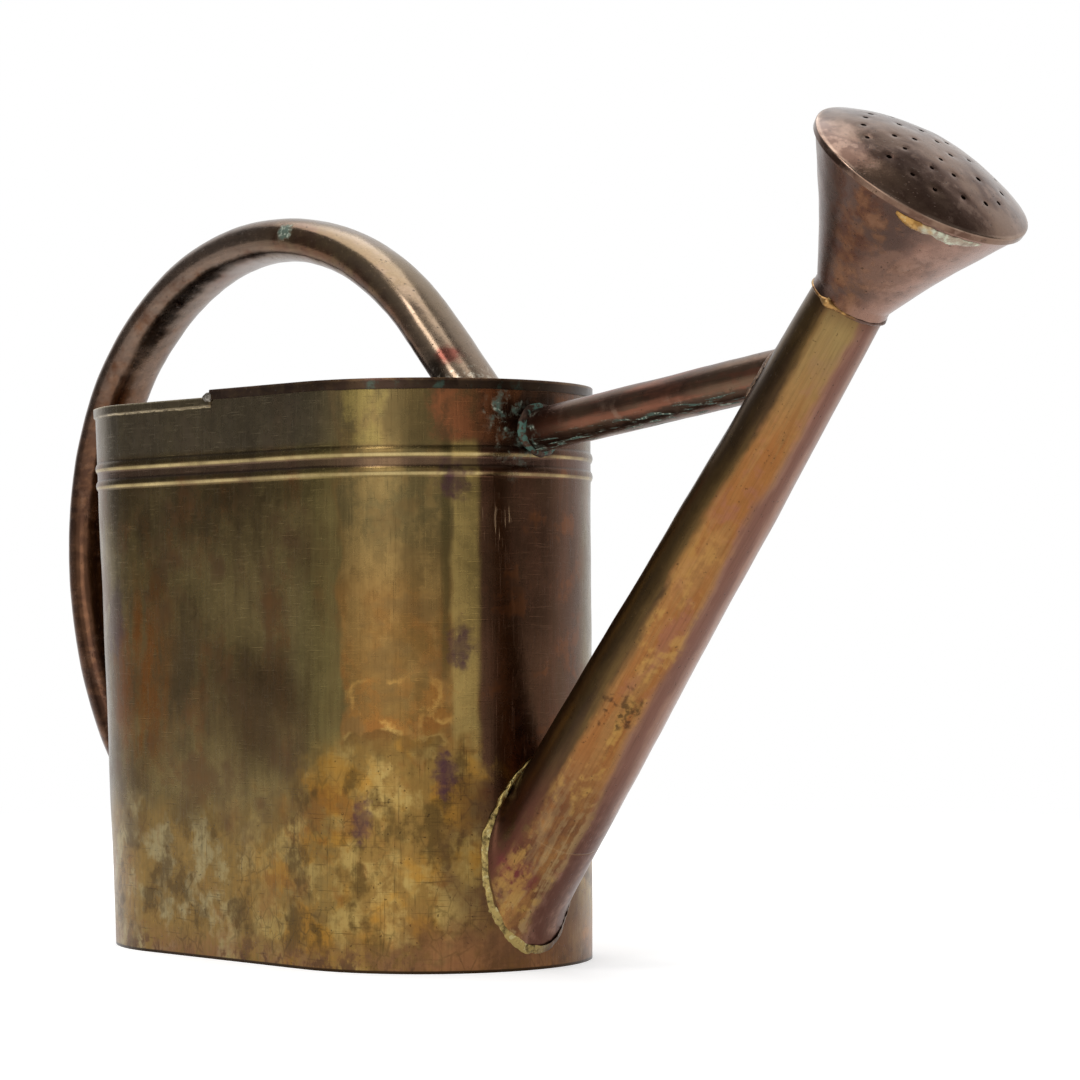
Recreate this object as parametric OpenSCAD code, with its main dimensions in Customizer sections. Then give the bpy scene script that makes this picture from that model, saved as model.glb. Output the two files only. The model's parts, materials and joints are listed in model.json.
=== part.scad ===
// Sheet-brass watering can with a swan-neck free spout, a brace, a hoop handle and a soldered rose.
// The origin is on the ground, midway along the rim. +X points towards the spout, +Z up.

/* [Body] */
// Length of the body at its rim, over both round ends
body_length = 296; // [260:1:360]
// Width of the body, which is also the diameter of its round ends
body_width = 157; // [130:1:190]
// Height of the folded rim above the ground
body_height = 270; // [225:1:325]
// How much shorter the body is at its foot than at its rim, all taken from the back end
foot_setback = 19; // [5:1:30]
// Thickness of the brass sheet that every piece is made of
sheet = 0.9; // [0.8:0.1:1.5]
// Height of the upturned edge of the base plate, which is soldered inside the wall
base_edge = 8; // [5:0.5:12]

/* [Rim and cover] */
// Height of the hem folded outwards round the back half of the rim
hem_height = 4.7; // [3:0.1:8]
// How far the top of the front cover stands above the folded rim
cover_rise = 3.4; // [2:0.1:6]
// Height of the cover's edge, turned down outside the wall
cover_edge = 5; // [4:0.1:8]
// Depth of the stiffening lip along the cover's straight edge
cover_lip = 7; // [4:0.5:12]
// Radius of the solder lump at each corner of the cover
cover_lump = 2.8; // [2:0.1:4]

/* [Swaged beads] */
// Number of beads pressed into the wall under the rim
bead_count = 2; // [1:1:3]
// Distance from the rim down to the middle of the top bead
bead_drop = 30.5; // [26:0.5:50]
// Distance between the middles of two beads
bead_pitch = 8.8; // [7:0.1:14]
// Height of one bead
bead_height = 5; // [4:0.1:6]
// How far a bead stands out from the wall
bead_proud = 1; // [0.6:0.1:1.5]

/* [Spout] */
// Angle of the spout above the ground
spout_angle = 51.2; // [42.5:0.1:60]
// Outside diameter of the spout where its middle line meets the front of the body
spout_root_d = 48.6; // [40:0.1:58.5]
// Outside diameter of the spout at its neck, where the rose begins
spout_neck_d = 33.2; // [26:0.1:38]
// Height of the neck above the rim
spout_rise = 29.7; // [20:0.1:60]
// Gap between the ground and the lowest point of the solder round the spout's root
spout_ground_gap = 11; // [6:0.5:20]

/* [Brace] */
// Outside diameter of the brace between the body and the spout
brace_d = 20.4; // [14:0.1:24]
// Distance from the rim down to the middle of the brace, where it meets the body
brace_drop = 19.9; // [15:0.1:40]
// Angle of the brace above the ground
brace_angle = 6.9; // [0:0.1:15]

/* [Rose] */
// Distance from the neck to the rim of the rose, along the spout
rose_length = 58; // [45:0.5:75]
// Diameter of the rose over its rim
rose_d = 99; // [80:0.5:120]
// How strongly the side of the rose curves outwards, where 0 is a plain cone
rose_flare = 0.12; // [0:0.01:0.4]
// Height of the domed face above the rim of the rose
rose_dome = 12; // [6:0.5:20]
// Length of the collar that grips the end of the spout
rose_collar = 4; // [3:0.5:8]
// Height of the edge of the face, turned down over the side of the rose
rose_edge = 3; // [2:0.1:5]
// Diameter of each sprinkling hole
rose_hole_d = 2.3; // [1.2:0.1:3]

/* [Handle] */
// Thickness of the oval handle tube, measured in the plane of the hoop
handle_thick = 21.8; // [17:0.1:26.5]
// Width of the oval handle tube, measured across the can
handle_wide = 31.8; // [24:0.1:38]
// Distance from the front of the body back to the middle of the handle's foot
handle_foot = 47.1; // [38:0.1:60]
// Angle at which the handle leaves the cover, leaning backwards
handle_pitch = 44.5; // [38:0.1:50]
// Length of the straight start of the handle
handle_lead = 53; // [35:0.5:70]
// How far the middle of the tube at the back of the hoop stands behind the rim
handle_reach = 56.1; // [45:0.1:70]

/* [Solder seams] */
// Width of the solder round the root of the spout
root_seam = 5; // [3:0.1:7]
// Width of the solder round the ends of the brace and the handle
tube_seam = 3.5; // [2:0.1:5]
// Height of the solder above the sheet that it lies on
seam_height = 2.5; // [1:0.1:4]
// Radius of the solder bead round the neck
neck_seam = 2; // [1.2:0.1:3]
// Radius of the solder run under the rim of the rose
rim_seam = 1.6; // [1:0.1:2]
// Angle that the solder run covers under the rim of the rose
rim_seam_turn = 50; // [20:1:120]
// Angle round the rose where that run begins, counted from the underside
rim_seam_start = -54; // [-180:1:180]

/* [Hidden] */
$fn = 96;

// A cut runs this far past the piece that it cuts.
past = 1;

// Body
end_radius = body_width / 2;
front_x = body_length / 2 - end_radius;
lean = atan(foot_setback / body_height);
lean_room = body_width * sin(lean) + past;
side_cut = 0.02;
cover_top = body_height + cover_rise;
function back_x(z) = -front_x + foot_setback * (1 - z / body_height);

// Swaged beads: the outline of one bead is an arc over its height
bead_radius = (pow(bead_height / 2, 2) + pow(bead_proud, 2)) / (2 * bead_proud);
bead_ring_radius = end_radius + bead_proud - bead_radius;
bead_top = body_height - bead_drop + bead_height / 2;

// Spout: its middle line starts at the front of the body, and runs length t up to the neck
spout_root_z = spout_ground_gap + (spout_root_d / 2 + root_seam) / cos(spout_angle);
spout_length = (body_height + spout_rise - spout_root_z) / sin(spout_angle);
spout_back = spout_root_d / 2 * tan(spout_angle) + 3 * root_seam;
function spout_r(t) = (spout_root_d + (spout_neck_d - spout_root_d) * t / spout_length) / 2;

// Brace: it ends on the spout's middle line
brace_z = body_height - brace_drop;
brace_run = (brace_z - spout_root_z) / (tan(spout_angle) - tan(brace_angle));
brace_length = brace_run / cos(brace_angle);
brace_back = brace_d;

// Rose: lengths are counted from the neck, and radii are those of its outer side
rose_r = rose_d / 2;
side_r = rose_r - sheet;
side_steps = 8;
function rose_side_r(s) =
    spout_neck_d / 2 + sheet
    + (side_r - spout_neck_d / 2 - sheet) * (s + rose_flare * (s * s - s));
dome_radius = (rose_r * rose_r + rose_dome * rose_dome) / (2 * rose_dome);
// Each ring of holes: its radius as a share of the rose's, and its number of holes
hole_rings = [[0.18, 4], [0.41, 9], [0.66, 16]];

// Handle: two straight legs at the same pitch, joined by half a circle
handle_turn = 180;
foot_room = handle_thick;
// The hoop takes the radius that brings its back to its reach behind the rim
hoop_radius = (body_length - handle_foot + handle_reach - handle_lead * cos(handle_pitch))
    / (1 + sin(handle_pitch));
hoop_end_x = body_length / 2 - handle_foot - handle_lead * cos(handle_pitch)
    - 2 * hoop_radius * sin(handle_pitch);
wall_run = (back_x(0) - end_radius - hoop_end_x) / cos(handle_pitch) + 2 * handle_thick;

// Half of the body's plan: a round end at the origin, with straight sides running back by reach
module end_plan(r, reach) {
    intersection() {
        circle(r);
        translate([0, -2 * r]) square([2 * r, 4 * r]);
    }
    translate([-reach, -r]) square([reach, 2 * r]);
}

// Solid front half of the body between two heights, grown outwards by grow
module front_form(grow, z0, z1) {
    translate([front_x, 0, z0])
        linear_extrude(z1 - z0) end_plan(end_radius + grow, front_x);
}

// Solid back half of the body, whose round end leans outwards towards the rim. The flat sides cut
// that end a hair inside its own width, so that they meet the flat sides of the front half.
module back_form(grow, z0, z1) {
    half_width = end_radius + grow;
    intersection() {
        translate([back_x(z0), 0, z0]) rotate([0, -lean, 0])
            translate([0, 0, -lean_room]) rotate([0, 0, 180])
                linear_extrude(z1 - z0 + 2 * lean_room) end_plan(half_width + side_cut, body_length);
        translate([-body_length, -half_width, z0]) cube([body_length, 2 * half_width, z1 - z0]);
    }
}

module body_form(grow, z0, z1) {
    front_form(grow, z0, z1);
    back_form(grow, z0, z1);
}

// One round bar that follows the wall at height z
module bead_bar(r, z) {
    translate([front_x, 0, z]) rotate([0, 0, -90])
        rotate_extrude(angle = 180) translate([bead_ring_radius, 0]) circle(r);
    translate([back_x(z), 0, z]) rotate([0, 0, 90])
        rotate_extrude(angle = 180) translate([bead_ring_radius, 0]) circle(r);
    for (side = [-1, 1]) {
        translate([0, side * bead_ring_radius, z]) rotate([0, 90, 0])
            cylinder(r = r, h = front_x);
        translate([back_x(z), side * bead_ring_radius, z]) rotate([0, 90, 0])
            cylinder(r = r, h = -back_x(z));
    }
}

module bead_bars(r) {
    for (i = [0:bead_count - 1]) bead_bar(r, body_height - bead_drop - i * bead_pitch);
}

// Puts what follows in the spout's own frame, with +Z along the spout
module along_spout(t) {
    translate([body_length / 2, 0, spout_root_z])
        rotate([0, 90 - spout_angle, 0]) translate([0, 0, t]) children();
}

// Solid tapered spout between two lengths along it, grown outwards by grow
module spout_form(grow, t0, t1) {
    along_spout(t0) cylinder(h = t1 - t0, r1 = spout_r(t0) + grow, r2 = spout_r(t1) + grow);
}

// Solid brace, grown outwards by grow, running from inside the body to the spout's middle line
module brace_form(grow, length) {
    translate([body_length / 2, 0, brace_z]) rotate([0, 90 - brace_angle, 0])
        translate([0, 0, -brace_back]) cylinder(h = brace_back + length, r = brace_d / 2 + grow);
}

// Flat oval section of the handle, with x in the plane of the hoop and y across the can
module oval(grow) {
    r = handle_thick / 2 + grow;
    flat = (handle_wide - handle_thick) / 2;
    for (side = [-1, 1])
        translate([0, side * flat])
            intersection() {
                circle(r);
                translate([-2 * r, (side - 1) * r]) square([4 * r, 2 * r]);
            }
    translate([-r, -flat]) square([2 * r, 2 * flat]);
}

module handle_section(grow, hollow) {
    difference() {
        oval(grow);
        if (hollow) oval(grow - sheet);
    }
}

// Puts what follows in the plane of the hoop, at the foot, with +X along the first leg
module at_handle_foot() {
    translate([body_length / 2 - handle_foot, 0, cover_top])
        rotate([90, 0, 0]) rotate([0, 0, 180 - handle_pitch]) children();
}

module handle_leg(length, grow, hollow) {
    rotate([0, 90, 0]) rotate([0, 0, 90]) linear_extrude(length) handle_section(grow, hollow);
}

// First leg, carried on down through the cover
module front_leg(grow, hollow) {
    at_handle_foot()
        translate([-foot_room, 0, 0]) handle_leg(foot_room + handle_lead, grow, hollow);
}

module hoop(grow, hollow) {
    at_handle_foot()
        translate([handle_lead, hoop_radius, 0]) rotate([0, 0, -90])
            rotate_extrude(angle = handle_turn)
                translate([hoop_radius, 0]) handle_section(grow, hollow);
}

// Second leg, carried on in through the back wall. What lies inside the body is cut away, and on a
// long body that part may reach below the ground.
module back_leg(grow, hollow) {
    at_handle_foot()
        translate([handle_lead, 2 * hoop_radius, 0]) rotate([0, 0, handle_turn])
            handle_leg(wall_run, grow, hollow);
}

module handle_form(grow, hollow) {
    front_leg(grow, hollow);
    hoop(grow, hollow);
    back_leg(grow, hollow);
}

// Outline of the solid side of the rose, from its collar up to its rim. The outline of the hollow
// lies one inset inside it, and runs past both ends.
module rose_side_outline(inset, over) {
    collar_end = -rose_collar - over;
    rim_end = rose_length + rose_edge + over;
    polygon(concat(
        [[0, collar_end], [spout_r(spout_length + collar_end) + sheet - inset, collar_end]],
        [for (i = [0:side_steps]) [rose_side_r(i / side_steps) - inset, rose_length * i / side_steps]],
        [[side_r - inset, rim_end], [0, rim_end]]
    ));
}

module body_wall() {
    color("#8a7338")
        difference() {
            union() {
                front_form(0, 0, cover_top - sheet);
                back_form(0, 0, body_height);
                back_form(sheet, body_height - hem_height, body_height);
                bead_bars(bead_radius);
            }
            body_form(-sheet, -past, cover_top + past);
            bead_bars(bead_radius - sheet);
            spout_form(-sheet, -spout_back, spout_length);
        }
}

module base_plate() {
    color("#7d6434")
        difference() {
            body_form(-sheet, 0, base_edge);
            body_form(-2 * sheet, sheet, base_edge + past);
        }
}

module front_cover() {
    color("#5d4030") {
        difference() {
            front_form(sheet, cover_top - cover_edge, cover_top);
            front_form(0, cover_top - cover_edge - past, cover_top - sheet);
        }
        translate([0, -end_radius + 2 * sheet, cover_top - cover_lip])
            cube([sheet, 2 * end_radius - 4 * sheet, cover_lip]);
    }
}

module handle_tube() {
    color("#7a5238")
        difference() {
            handle_form(0, true);
            translate([0, -body_width / 2, cover_top - 2 * foot_room])
                cube([body_length, body_width, 2 * foot_room]);
            back_form(0, -foot_room, body_height);
        }
}

module spout_tube() {
    color("#8c6636")
        difference() {
            spout_form(0, -spout_back, spout_length);
            spout_form(-sheet, -spout_back - past, spout_length + past);
            front_form(0, 0, cover_top);
        }
}

module brace_tube() {
    color("#6e4a34")
        difference() {
            brace_form(0, brace_length);
            brace_form(-sheet, brace_length + past);
            front_form(0, 0, cover_top);
            bead_bars(bead_radius);
            spout_form(0, 0, spout_length);
        }
}

module rose_cone() {
    color("#74503f")
        along_spout(spout_length)
            difference() {
                rotate_extrude() rose_side_outline(0, 0);
                rotate_extrude() rose_side_outline(sheet, past);
            }
}

module rose_face() {
    color("#8d6f62")
        along_spout(spout_length + rose_length + rose_edge)
            difference() {
                rotate_extrude() {
                    translate([0, rose_dome - dome_radius])
                        difference() {
                            intersection() {
                                circle(dome_radius);
                                translate([0, dome_radius - rose_dome]) square([dome_radius, dome_radius]);
                            }
                            circle(dome_radius - sheet);
                        }
                    translate([side_r, -rose_edge]) square([sheet, rose_edge]);
                }
                for (ring = hole_rings, i = [0:ring[1] - 1])
                    rotate([0, 0, 360 * i / ring[1]]) translate([ring[0] * rose_r, 0, -past])
                        cylinder(d = rose_hole_d, h = rose_dome + 2 * past);
            }
}

module spout_root_solder() {
    color("#c2a768")
        difference() {
            intersection() {
                spout_form(root_seam, -spout_back, spout_length / 2);
                front_form(seam_height, 0, body_height);
            }
            front_form(0, -past, body_height + past);
            spout_form(0, -spout_back - past, spout_length / 2 + past);
        }
}

// It lies on the wall above the top bead, which the underside of the brace rests on
module brace_body_solder() {
    color("#6f8a80")
        difference() {
            intersection() {
                brace_form(tube_seam, brace_length / 2);
                front_form(seam_height, bead_top, body_height);
            }
            front_form(0, -past, body_height + past);
            brace_form(0, brace_length);
        }
}

module brace_spout_solder() {
    color("#7a5b45")
        difference() {
            intersection() {
                brace_form(tube_seam, brace_length);
                spout_form(seam_height, 0, spout_length);
            }
            brace_form(0, brace_length + past);
            spout_form(0, -past, spout_length + past);
        }
}

module handle_front_solder() {
    color("#a08a70")
        difference() {
            intersection() {
                front_leg(tube_seam, false);
                translate([0, -body_width / 2, cover_top]) cube([body_length, body_width, seam_height]);
            }
            front_leg(0, false);
        }
}

module handle_back_solder() {
    color("#a08a70")
        difference() {
            intersection() {
                back_leg(tube_seam, false);
                back_form(seam_height, 0, body_height);
            }
            back_form(0, -past, body_height + past);
            back_leg(0, false);
        }
}

module rose_neck_solder() {
    color("#c39a4c")
        along_spout(spout_length)
            difference() {
                translate([0, 0, -rose_collar]) rotate_extrude()
                    translate([spout_r(spout_length - rose_collar) + sheet, 0]) circle(r = neck_seam);
                translate([0, 0, -spout_length])
                    cylinder(h = spout_length, r1 = spout_r(0), r2 = spout_r(spout_length));
                rotate_extrude() rose_side_outline(0, 0);
            }
}

module rose_rim_solder() {
    color("#d1a44a")
        along_spout(spout_length)
            difference() {
                translate([0, 0, rose_length]) rotate([0, 0, rim_seam_start])
                    rotate_extrude(angle = rim_seam_turn) translate([side_r, 0]) circle(r = rim_seam);
                rotate_extrude() rose_side_outline(0, 0);
                translate([0, 0, rose_length]) cylinder(h = rose_edge + past, r = rose_r);
            }
}

module cover_solder() {
    color("#9a948c")
        for (side = [-1, 1])
            difference() {
                translate([-cover_lump / 2, side * end_radius, body_height])
                    sphere(r = cover_lump);
                body_form(sheet, body_height - 2 * cover_lump, body_height);
                front_form(sheet, body_height - past, cover_top);
            }
}

body_wall();
base_plate();
front_cover();
handle_tube();
spout_tube();
brace_tube();
rose_cone();
rose_face();
spout_root_solder();
brace_body_solder();
brace_spout_solder();
handle_front_solder();
handle_back_solder();
rose_neck_solder();
rose_rim_solder();
cover_solder();
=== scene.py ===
# %% [markdown]
# # A tarnished brass watering can
# The can is made of thin brass and copper sheet: a long body with round ends, a cover soldered over
# the front half of its mouth, a hoop handle, a tapered spout with a brace, and a rose. Every piece
# is rebuilt here as a fine mesh, because the look of old hand-made sheet is in its small dents,
# its uneven solder and its patchy tarnish, which a clean construction model doesn't have.

# %% Load the construction model
import json
import math
import random

import bmesh
import bpy
import numpy as np
from mathutils import Matrix, Vector, noise

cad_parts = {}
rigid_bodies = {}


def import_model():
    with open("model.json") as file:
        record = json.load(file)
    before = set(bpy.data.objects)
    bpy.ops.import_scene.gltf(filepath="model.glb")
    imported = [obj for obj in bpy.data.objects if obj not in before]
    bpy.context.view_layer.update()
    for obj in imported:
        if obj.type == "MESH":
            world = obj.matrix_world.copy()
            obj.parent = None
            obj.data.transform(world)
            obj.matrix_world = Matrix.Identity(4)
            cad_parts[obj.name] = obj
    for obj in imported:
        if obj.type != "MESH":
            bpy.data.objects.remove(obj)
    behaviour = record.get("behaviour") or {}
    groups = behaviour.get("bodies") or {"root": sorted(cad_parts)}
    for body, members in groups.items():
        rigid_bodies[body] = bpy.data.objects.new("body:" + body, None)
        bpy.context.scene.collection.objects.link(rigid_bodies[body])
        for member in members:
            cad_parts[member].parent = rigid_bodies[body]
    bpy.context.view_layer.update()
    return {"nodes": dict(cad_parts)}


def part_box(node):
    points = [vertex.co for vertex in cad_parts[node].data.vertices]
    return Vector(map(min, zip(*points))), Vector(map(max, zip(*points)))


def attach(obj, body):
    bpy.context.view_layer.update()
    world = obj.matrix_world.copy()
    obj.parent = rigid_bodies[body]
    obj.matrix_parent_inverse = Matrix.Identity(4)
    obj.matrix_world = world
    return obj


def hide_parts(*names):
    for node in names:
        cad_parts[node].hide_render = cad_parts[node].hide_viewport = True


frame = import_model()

print("construction model:", len(frame["nodes"]), "nodes")

# %% [markdown]
# ## Sizes
# Lengths are in millimetres until a mesh is made, because a sheet of 0.9 is easier to think about
# than one of 0.0009. The body's sizes are read off the construction model. The slanted pieces can't
# be read off a box, so their angles and diameters are given again. Two sheets that touch are left
# a hair apart.

# %% Sizes of the body
MM = 0.001
SHEET = 0.9
HAIR = 0.05


def corners(node):
    """Lowest and highest corner of a construction node, in millimetres."""
    low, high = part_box(node)
    return np.array(low) / MM, np.array(high) / MM


_, cover_high = corners("front_cover")
plate_low, plate_high = corners("base_plate")
END_R = cover_high[1] - SHEET
FRONT_X = cover_high[0] - SHEET - END_R
COVER_TOP = cover_high[2]
COVER_RISE = 3.4
BODY_HEIGHT = COVER_TOP - COVER_RISE
FOOT_SETBACK = plate_low[0] - SHEET + END_R + FRONT_X
BASE_EDGE = plate_high[2]
print(f"body: round ends of radius {END_R:.1f}, height {BODY_HEIGHT:.1f}, foot set back {FOOT_SETBACK:.1f}")

# %% Sizes of the spout, brace and rose
SPOUT_ANGLE = math.radians(51.2)
SPOUT_ROOT = np.array([FRONT_X + END_R, 0, 57.76])
SPOUT_LENGTH = 310.4
SPOUT_ROOT_R, SPOUT_NECK_R = 24.3, 16.6
BRACE_ANGLE = math.radians(6.9)
BRACE_ROOT = np.array([FRONT_X + END_R, 0, BODY_HEIGHT - 19.9])
BRACE_R = 10.2
ROSE_LENGTH, ROSE_R, ROSE_DOME, ROSE_EDGE = 58.0, 49.5, 12.0, 3.0
ROSE_COLLAR = 4.0
ALONG_SPOUT = np.array([math.cos(SPOUT_ANGLE), 0, math.sin(SPOUT_ANGLE)])
UNDER_SPOUT = np.array([math.sin(SPOUT_ANGLE), 0, -math.cos(SPOUT_ANGLE)])
ACROSS = np.array([0.0, 1.0, 0.0])
ALONG_BRACE = np.array([math.cos(BRACE_ANGLE), 0, math.sin(BRACE_ANGLE)])
NECK = SPOUT_ROOT + SPOUT_LENGTH * ALONG_SPOUT
print(f"neck of the spout at {NECK.round(1)}")

# %% [markdown]
# ## Meshes from grids
# Almost every piece of a sheet-metal can is a closed section carried round a path: up the outside of
# the sheet and back down the inside. So one helper makes a mesh from a grid of points, where the
# first index runs along the path and the second runs round the section. Modelling by hand with
# extrusions would also do, but then the dents couldn't be a formula.

# %% Grid helper


def link_mesh(name, points, faces, sharp=40):
    """A linked object from points in millimetres, shaded smooth but for edges over an angle."""
    mesh = bpy.data.meshes.new(name)
    mesh.from_pydata((np.asarray(points) * MM).tolist(), [], faces)
    piece = bpy.data.objects.new(name, mesh)
    bpy.context.scene.collection.objects.link(piece)
    clean(piece, sharp)
    return piece


def clean(piece, sharp=40):
    """Merges doubled points, turns all faces outwards and sets the smooth shading."""
    merge_distance = 1e-6
    work = bmesh.new()
    work.from_mesh(piece.data)
    bmesh.ops.remove_doubles(work, verts=work.verts, dist=merge_distance)
    bmesh.ops.dissolve_degenerate(work, edges=work.edges, dist=merge_distance)
    bmesh.ops.recalc_face_normals(work, faces=work.faces)
    work.to_mesh(piece.data)
    work.free()
    piece.data.shade_smooth()
    piece.data.set_sharp_from_angle(angle=math.radians(sharp))


def grid_faces(rows, columns, ring, first=0):
    """Quads of a grid whose section is closed. The path is closed too if ring is set."""
    faces = []
    for i in range(rows if ring else rows - 1):
        here, there = first + i * columns, first + (i + 1) % rows * columns
        for j in range(columns):
            k = (j + 1) % columns
            faces.append((here + j, there + j, there + k, here + k))
    return faces


def swept(name, grid, ring=True, sharp=40):
    """A piece from a grid of points: along the path, then round the closed section."""
    rows, columns = grid.shape[:2]
    faces = grid_faces(rows, columns, ring)
    if not ring:
        faces.append(tuple(range(columns)))
        faces.append(tuple(range((rows - 1) * columns, rows * columns)))
    return link_mesh(name, grid.reshape(-1, 3), faces, sharp)


def rolled(name, outside, inside):
    """A tube of sheet from the points of its outer and its inner side."""
    return swept(name, np.concatenate([outside, inside[:, ::-1]], axis=1))


def spread(*stops):
    """Numbers from a list of (end value, step) pairs, with an even spacing in each stretch."""
    values = [stops[0]]
    for end, step in stops[1:]:
        count = max(1, round(abs(end - values[-1]) / step))
        start = values[-1]
        values += [start + (end - start) * (i + 1) / count for i in range(count)]
    return np.array(values)


# %% [markdown]
# ## Hand-made unevenness
# Old sheet is never flat. Three kinds of unevenness cover this can: slow waves, where the sheet was
# rolled and has been knocked since, small hammer facets on the handle, and lumps in the solder.
# Blender's own noise functions give the same value for the same point each time, so the dents stay
# where they are from one run to the next.

# %% Unevenness helpers


def waves(points, size, seed):
    """Smooth noise from about -1 to 1, with hills of this size, at each point."""
    shifted = points.reshape(-1, 3) / size + seed * np.array([3.7, 5.3, 7.9])
    values = [noise.noise(p) for p in shifted.tolist()]
    return np.array(values).reshape(points.shape[:-1])


def hammered(points, size, seed):
    """Depth of round hammer facets, from 0 at their rims to about 1 at their middles."""
    shifted = points.reshape(-1, 3) / size + seed * np.array([2.3, 6.1, 4.7])
    nearest = [noise.voronoi(p)[0][0] for p in shifted.tolist()]
    return 1 - np.clip(np.array(nearest).reshape(points.shape[:-1]), 0, 1)


def unit(vectors):
    return vectors / np.linalg.norm(vectors, axis=-1, keepdims=True)


def smooth_step(low, high, values):
    t = np.clip((values - low) / (high - low), 0, 1)
    return t * t * (3 - 2 * t)


# %% [markdown]
# ## The body wall
# The wall is one strip of brass bent round two half circles, with its back end leaning outwards.
# Two beads are rolled in under the rim to stiffen it, and the back half of the rim is folded
# outwards into a hem. The plan is a list of columns: each has its place at the rim, the way it
# faces, and how much of the lean it takes. The beads and the hem are then offsets along the way
# that it faces, so the same rows of points serve all round.

# %% Columns of the wall's plan
COLUMN_STEP = 2.2


def wall_columns():
    """Place at the rim, facing and share of the lean of each column, once round the body."""
    places, facings, leans = [], [], []

    def add(x, y, fx, fy, lean):
        places.append((x, y))
        facings.append((fx, fy))
        leans.append(lean)

    arc = round(math.pi * END_R / COLUMN_STEP)
    for i in range(arc):
        a = -math.pi / 2 + math.pi * i / arc
        add(FRONT_X + END_R * math.cos(a), END_R * math.sin(a), math.cos(a), math.sin(a), 0)
    side = spread(0, (0.5, 0.5), (2, 0.75), (FRONT_X, COLUMN_STEP))
    for x in [*side[:0:-1], *-side[:-1]]:
        add(x, END_R, 0, 1, max(0, -x / FRONT_X))
    for i in range(arc):
        a = math.pi / 2 + math.pi * i / arc
        add(-FRONT_X + END_R * math.cos(a), END_R * math.sin(a), math.cos(a), math.sin(a), 1)
    for x in [*-side[:0:-1], *side[:-1]]:
        add(x, -END_R, 0, -1, max(0, -x / FRONT_X))
    return np.array(places), np.array(facings), np.array(leans)


plan, facing, lean_share = wall_columns()
is_back = lean_share > 0
print(len(plan), "columns round the wall")


def set_back(z):
    """How far the back end stands in from its place at the rim, at height z."""
    return FOOT_SETBACK * (1 - z / BODY_HEIGHT)


def on_wall(z, offset):
    """Points of every column at the heights z, standing out from the wall by offset."""
    points = np.zeros(z.shape + (3,))
    points[..., 0] = plan[:, None, 0] + lean_share[:, None] * set_back(z) + facing[:, None, 0] * offset
    points[..., 1] = plan[:, None, 1] + facing[:, None, 1] * offset
    points[..., 2] = z
    return points


# %% Beads, hem and dents as offsets
BEADS = [BODY_HEIGHT - 30.5, BODY_HEIGHT - 39.3]
BEAD_HALF, BEAD_PROUD = 2.5, 1.0
HEM_HEIGHT = 4.7
DENT, DENT_SINK = 0.55, 0.12


def bead_offset(z, points):
    """Two rolled beads, each an arc of a circle that wanders a little up and down."""
    radius = (BEAD_HALF**2 + BEAD_PROUD**2) / (2 * BEAD_PROUD)
    wander = 0.25 * waves(points, 70, 11)
    total = np.zeros(z.shape)
    for middle in BEADS:
        across = np.abs(z - middle - wander)
        arc = np.sqrt(np.clip(radius**2 - across**2, 0, None)) - (radius - BEAD_PROUD)
        total += np.clip(arc, 0, None)
    return total * (0.9 + 0.25 * waves(points, 25, 12))


def hem_offset(z, points):
    """A second thickness of sheet round the back half of the rim, with a ragged lower edge."""
    ragged = HEM_HEIGHT + 0.35 * waves(points, 9, 13) + 0.3 * waves(points, 3.5, 14)
    folded = smooth_step(BODY_HEIGHT - ragged - 0.3, BODY_HEIGHT - ragged + 0.3, z)
    return SHEET * folded * is_back[:, None]


def dent_offset(z, points):
    """Slow waves over the sheet, which die out at the foot, the beads and the rim."""
    free = smooth_step(2, 30, z) * (1 - 0.8 * smooth_step(BEADS[1] - 14, BEADS[1] - 3, z))
    slow = waves(points, 62, 1) + 0.5 * waves(points, 27, 2)
    return DENT * slow * free - DENT_SINK


def wall_side(rows, inwards):
    """One side of the wall's sheet, over these rows of heights."""
    z = np.tile(rows, (len(plan), 1))
    under_cover = smooth_step(BODY_HEIGHT - 3, BODY_HEIGHT, z) * ~is_back[:, None]
    z = z + under_cover * (COVER_RISE - SHEET - 0.1)
    flat = on_wall(z, np.zeros(z.shape))
    offset = bead_offset(z, flat) + dent_offset(z, flat)
    if not inwards:
        offset = offset + hem_offset(z, flat)
    return on_wall(z, offset - (SHEET if inwards else 0))


# %% Build the wall
below_beads, above_beads = BEADS[1] - 4, BEADS[0] + 4
TOP_ROUND = 0.3
outer_rows = spread(0, (1.5, 0.5), (12, 2.6), (below_beads, 3), (above_beads, 0.45),
                    (BODY_HEIGHT - 6, 3), (BODY_HEIGHT - TOP_ROUND, 0.36))
inner_rows = spread(0, (below_beads, 6), (above_beads, 0.9), (BODY_HEIGHT - TOP_ROUND, 5))
outside, inside = wall_side(outer_rows, False), wall_side(inner_rows, True)
lip = (outside[:, -1:] + inside[:, -1:]) / 2 + np.array([0, 0, TOP_ROUND])
wall = swept("body_wall_sheet", np.concatenate([outside, lip, inside[:, ::-1]], axis=1), sharp=55)
print("wall:", len(wall.data.polygons), "faces")

# %% [markdown]
# ## Tubes that end on another surface
# The spout, the brace and both ends of the handle stop where they meet a curved sheet. A boolean
# cut would do that, but it leaves a ragged mesh just where the solder has to sit. Instead each line
# along the tube is followed until a small function says that it has reached the other surface, and
# the points are spread between those two places. The same end points then carry the solder.

# %% Where a line reaches a surface
HALVINGS = 40


def above_wall(points):
    """Distance from the wall's outer face, less than zero inside the body."""
    x, y, z = points[..., 0], points[..., 1], points[..., 2]
    back = -FRONT_X + set_back(z)
    past_end = np.where(x > FRONT_X, x - FRONT_X, np.where(x < back, x - back, 0))
    return np.hypot(past_end, y) - END_R


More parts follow.
